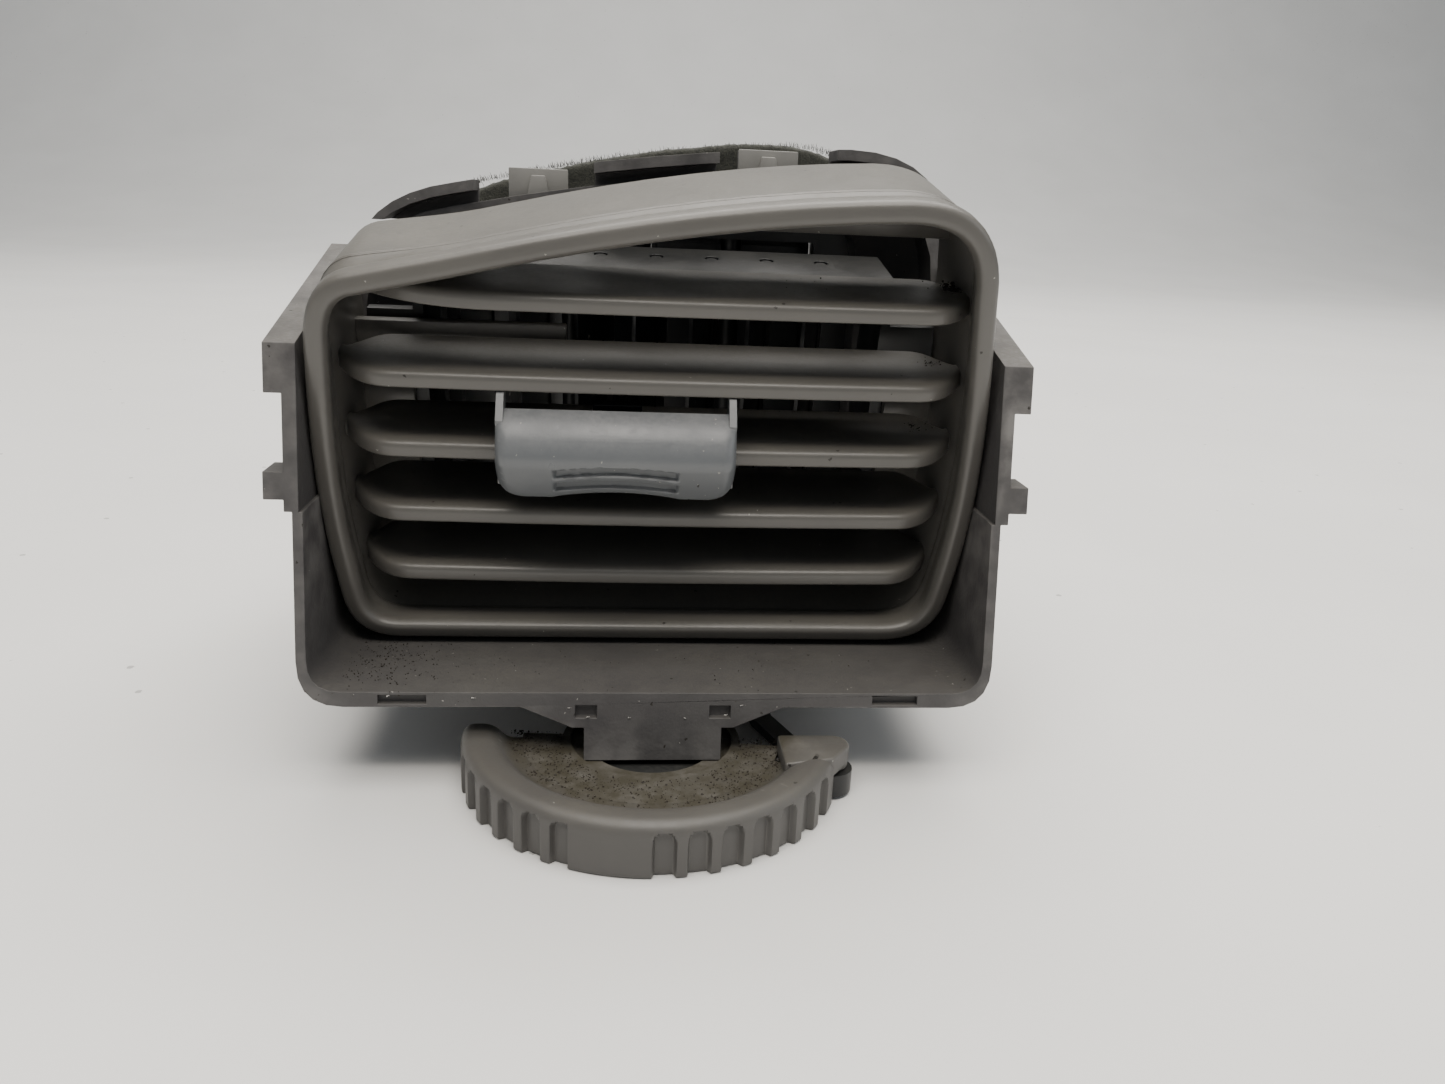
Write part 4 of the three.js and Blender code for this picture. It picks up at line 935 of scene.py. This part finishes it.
def makeFoam():
    s = foamSize
    loop = ductLoop(s["halfWidth"] + s["gap"], s["floor"] - s["gap"], s["top"] + s["gap"], 420)
    bm = bmesh.new()
    block = filleted([(0.0, s["start"]), (0.0, s["end"]), (s["thick"], s["end"]), (s["thick"], s["start"])],
                     [0.3, 0.3, 1.6, 1.6], 4)
    profile = []
    for a, b in zip(block, block[1:] + block[:1]):
        parts = max(1, round((b - a).length / 0.8))
        profile += [a.lerp(b, k / parts) for k in range(parts)]
    sweptWall(bm, loop, [(p.x, p.y) for p in profile])
    closeUp(bm)
    bm.normal_update()
    for corner in bm.verts:
        rough = noise.fractal(corner.co * 0.9, 0.8, 2.0, 4) * 0.6 + noise.noise(corner.co * 0.15) * 0.9
        corner.co += corner.normal * s["fuzz"] * min(rough - 0.3, 0.6)
    piece = newPiece("ductSealFoam", bm, ventPlace, "housing", paint["sealFoam"], ["duct_seal_foam"], 80)


def makeFoamFibres():
    # short loose fibres that stand off the foam's outer face
    s = foamSize
    dice = random.Random(7)
    gap, thick = s["gap"], s["thick"]
    loop = ductLoop(s["halfWidth"] + gap + thick, s["floor"] - gap - thick, s["top"] + gap + thick, 900)
    outward = outwardOf(loop)
    bm = bmesh.new()
    for _ in range(s["fibres"]):
        k = dice.randrange(len(loop))
        root = Vector((loop[k].x, dice.uniform(s["start"] + 0.5, s["end"] - 0.5), loop[k].y))
        out = Vector((outward[k].x, 0, outward[k].y))
        lean = Vector([dice.uniform(-1, 1) for _ in range(3)])
        tip = root + (out * 0.45 + lean * 0.65).normalized() * dice.uniform(0.4, 1) * s["fibreLength"]
        tip -= out * 0.35
        root -= out * 0.5
        side = out.cross(lean).normalized() * 0.045
        bend = root.lerp(tip, 0.55) + out * 0.12
        low = [bm.verts.new(root + side), bm.verts.new(root - side)]
        high = [bm.verts.new(bend - side), bm.verts.new(bend + side)]
        bm.faces.new(low + high)
        bm.faces.new([high[1], high[0], bm.verts.new(tip)])
    newPiece("foamFibres", bm, ventPlace, "housing", paint["foamFibre"])


makeFoam()
makeFoamFibres()
print("foam made")


def crumb(bm, centre, size, dice):
    made = bmesh.ops.create_icosphere(bm, subdivisions=1, radius=size)["verts"]
    stretch = [dice.uniform(0.5, 1.3) for _ in range(3)]
    turn = Matrix.Rotation(dice.uniform(0, 6.28), 3, "Z") @ Matrix.Rotation(dice.uniform(0, 6.28), 3, "X")
    for corner in made:
        shape = Vector([corner.co[i] * stretch[i] for i in range(3)]) * dice.uniform(0.8, 1.2)
        corner.co = turn @ shape + Vector(centre)


def scatterOnWeb(count):
    # grit lies thickest behind the housing's chin and thins out towards the rim
    s = wheelSize
    dice = random.Random(11)
    bm = bmesh.new()
    made = 0
    while made < count:
        angle = math.radians(dice.uniform(-186, -2))
        radius = math.sqrt(dice.uniform((s["well"] + 1) ** 2, (s["radius"] - s["rimWidth"] - 0.6) ** 2))
        x, y = radius * math.cos(angle), radius * math.sin(angle)
        thick = 0.5 + 0.5 * noise.noise(Vector((x * 0.16, y * 0.16, 3.0)))
        behindChin = max(0.0, min(1.0, (y + 24) / 20))
        if dice.random() > thick * (0.3 + 0.7 * behindChin):
            continue
        crumb(bm, (x, y, s["webTop"] + 0.03), dice.choice([0.05, 0.06, 0.08, 0.1, 0.13, 0.18]), dice)
        made += 1
    newPiece("wheelGrit", bm, wheelPlace, "thumbwheel", paint["roadGrit"], (), 180)


webCrumbs = 1700
# where loose dirt gathers: middle and spread in mm, how many crumbs, and the biggest crumb
drumDirt = [((48.2, -9.0, 24.3), (1.6, 3.5, 0.15), 110, 0.32), ((46.0, -9.5, 11.5), (1.8, 2.5, 0.1), 26, 0.2),
            ((45.6, -9.5, -0.3), (1.8, 2.5, 0.1), 30, 0.22), ((30.0, -10.0, 24.35), (14, 4, 0.1), 10, 0.16)]
floorDirt = [((-45.0, -21.0, 16.6), (9.0, 15.0, 0.1), 460, 0.15),
             ((-30.0, -24.0, 16.6), (26.0, 14.0, 0.1), 130, 0.1), ((20.0, -26.0, 16.6), (24.0, 9.0, 0.1), 40, 0.14)]
flashPlaces = [(-41.5, 15.9), (-28.5, 15.7), (-13.5, 14.1), (-10.5, 12.6), (-4.0, 12.5), (5.0, 12.5),
               (11.5, 13.0), (14.0, 14.5)]


def scatterPatches(name, patches, place, body):
    dice = random.Random(23)
    bm = bmesh.new()
    for centre, spread, count, biggest in patches:
        for _ in range(count):
            spot = [c + dice.gauss(0, 0.5) * r for c, r in zip(centre[:2], spread[:2])]
            crumb(bm, (*spot, centre[2]), biggest * dice.uniform(0.3, 1) ** 1.5, dice)
    newPiece(name, bm, place, body, paint["roadGrit"], (), 180)


def makeFlash():
    # curled slivers of plastic left along the housing's front edge
    dice = random.Random(5)
    bm = bmesh.new()
    for x, z in flashPlaces:
        y = z * math.tan(math.radians(frontLean)) - trunnionDepth - 0.1
        start = Vector((x, y, z))
        for k in range(4):
            crumb(bm, start, 0.13 - 0.02 * k, dice)
            start = start + Vector((dice.uniform(0.05, 0.2), -dice.uniform(0, 0.08), dice.uniform(-0.05, 0.1)))
    newPiece("edgeFlash", bm, ventPlace, "housing", paint["paleFlash"], (), 180)


scatterOnWeb(webCrumbs)
scatterPatches("louvreDirt", drumDirt, drumPlace, "drum")
scatterPatches("floorDirt", floorDirt, ventPlace, "housing")
makeFlash()
print("dirt made")


def tableMaterial():
    material, tree, shader, place = newMaterial("paleTable")
    fine = useEffect(tree, speckEffect, Cell_Scale=170.0, Share=0.035, Size=0.12, Place=place)
    tone = ramp(tree, noiseAt(tree, place, 9.0, 5.0), 0.3, 0.7)
    colour = mixed(tree, tone, (0.68, 0.675, 0.66), (0.72, 0.715, 0.70))
    tree.links.new(mixed(tree, fine.outputs["Mask"], colour, (0.38, 0.38, 0.37)), shader.inputs["Base Color"])
    bump = put(tree, "ShaderNodeBump", {"Height": noiseAt(tree, place, 1200.0, 3.0), "Strength": 0.15,
                                        "Distance": 0.0002})
    tree.links.new(bump.outputs["Normal"], shader.inputs["Normal"])
    shader.inputs["Roughness"].default_value = 0.6
    return material


def makeTable():
    # a pale sheet that lies flat and then curves up far behind
    bm = bmesh.new()
    section = pathOf((-3.0, 0.0), [[(1.2, 0.0)], [(2.4, 0.0), (2.4, 1.2)], [(2.4, 3.5)]], 16)
    row = [bm.verts.new((-4, p.x, p.y)) for p in section]
    edges = [bm.edges.new(pair) for pair in zip(row, row[1:])]
    made = bmesh.ops.extrude_edge_only(bm, edges=edges)["geom"]
    bmesh.ops.translate(bm, verts=[v for v in made if isinstance(v, bmesh.types.BMVert)], vec=(8, 0, 0))
    faceOut(bm)
    meshObject("paleTable", bm, tableMaterial())


def addLight(name, place, aim, size, power, colour):
    data = bpy.data.lights.new(name, "AREA")
    data.shape = "RECTANGLE"
    data.size, data.size_y = size
    data.energy = power
    data.color = colour
    light = bpy.data.objects.new(name, data)
    light.location = place
    light.rotation_euler = (Vector(aim) - Vector(place)).to_track_quat("-Z", "Y").to_euler()
    bpy.context.scene.collection.objects.link(light)


def makeStudio():
    world = bpy.data.worlds.new("softRoom")
    world.use_nodes = True
    air = world.node_tree.nodes["Background"].inputs
    air["Color"].default_value = (0.80, 0.86, 0.92, 1)
    air["Strength"].default_value = 0.30
    bpy.context.scene.world = world
    # name, place, aim, size in metres, watts and colour
    addLight("ceilingBox", (0.05, -0.02, 1.1), (0, 0, 0.05), (1.6, 1.1), 30.0, (1.0, 0.955, 0.89))
    addLight("stripAbove", (0.0, -0.36, 0.66), (0, 0, 0.08), (0.7, 0.09), 1.6, (1.0, 0.93, 0.84))
    addLight("rightWindow", (1.3, -0.4, 0.7), (0, 0, 0.05), (0.8, 0.8), 3.0, (0.93, 0.97, 1.0))
    addLight("backWash", (0.2, 0.9, 1.3), (0.2, 1.4, 0.1), (1.6, 0.8), 18.0, (1.0, 0.98, 0.95))


# sensor and lens in mm, place in metres, and which way the camera's axes point
cameraView = dict(sensor=36, lens=27.08, place=(-0.0062, -0.19566, 0.0921), right=(0.9952, -0.0869, 0.0449),
                  up=(-0.0165, 0.3036, 0.9526), ahead=(0.0964, 0.9488, -0.3007))


def addCamera():
    s = cameraView
    data = bpy.data.cameras.new("frontView")
    data.sensor_width = s["sensor"]
    data.lens = s["lens"]
    data.clip_start = 0.01
    camera = bpy.data.objects.new("frontView", data)
    turn = Matrix((Vector(s["right"]), Vector(s["up"]), -Vector(s["ahead"]))).transposed().to_4x4()
    camera.matrix_world = Matrix.Translation(s["place"]) @ turn
    bpy.context.scene.collection.objects.link(camera)
    bpy.context.scene.camera = camera


makeTable()
makeStudio()
addCamera()
print("stage made")
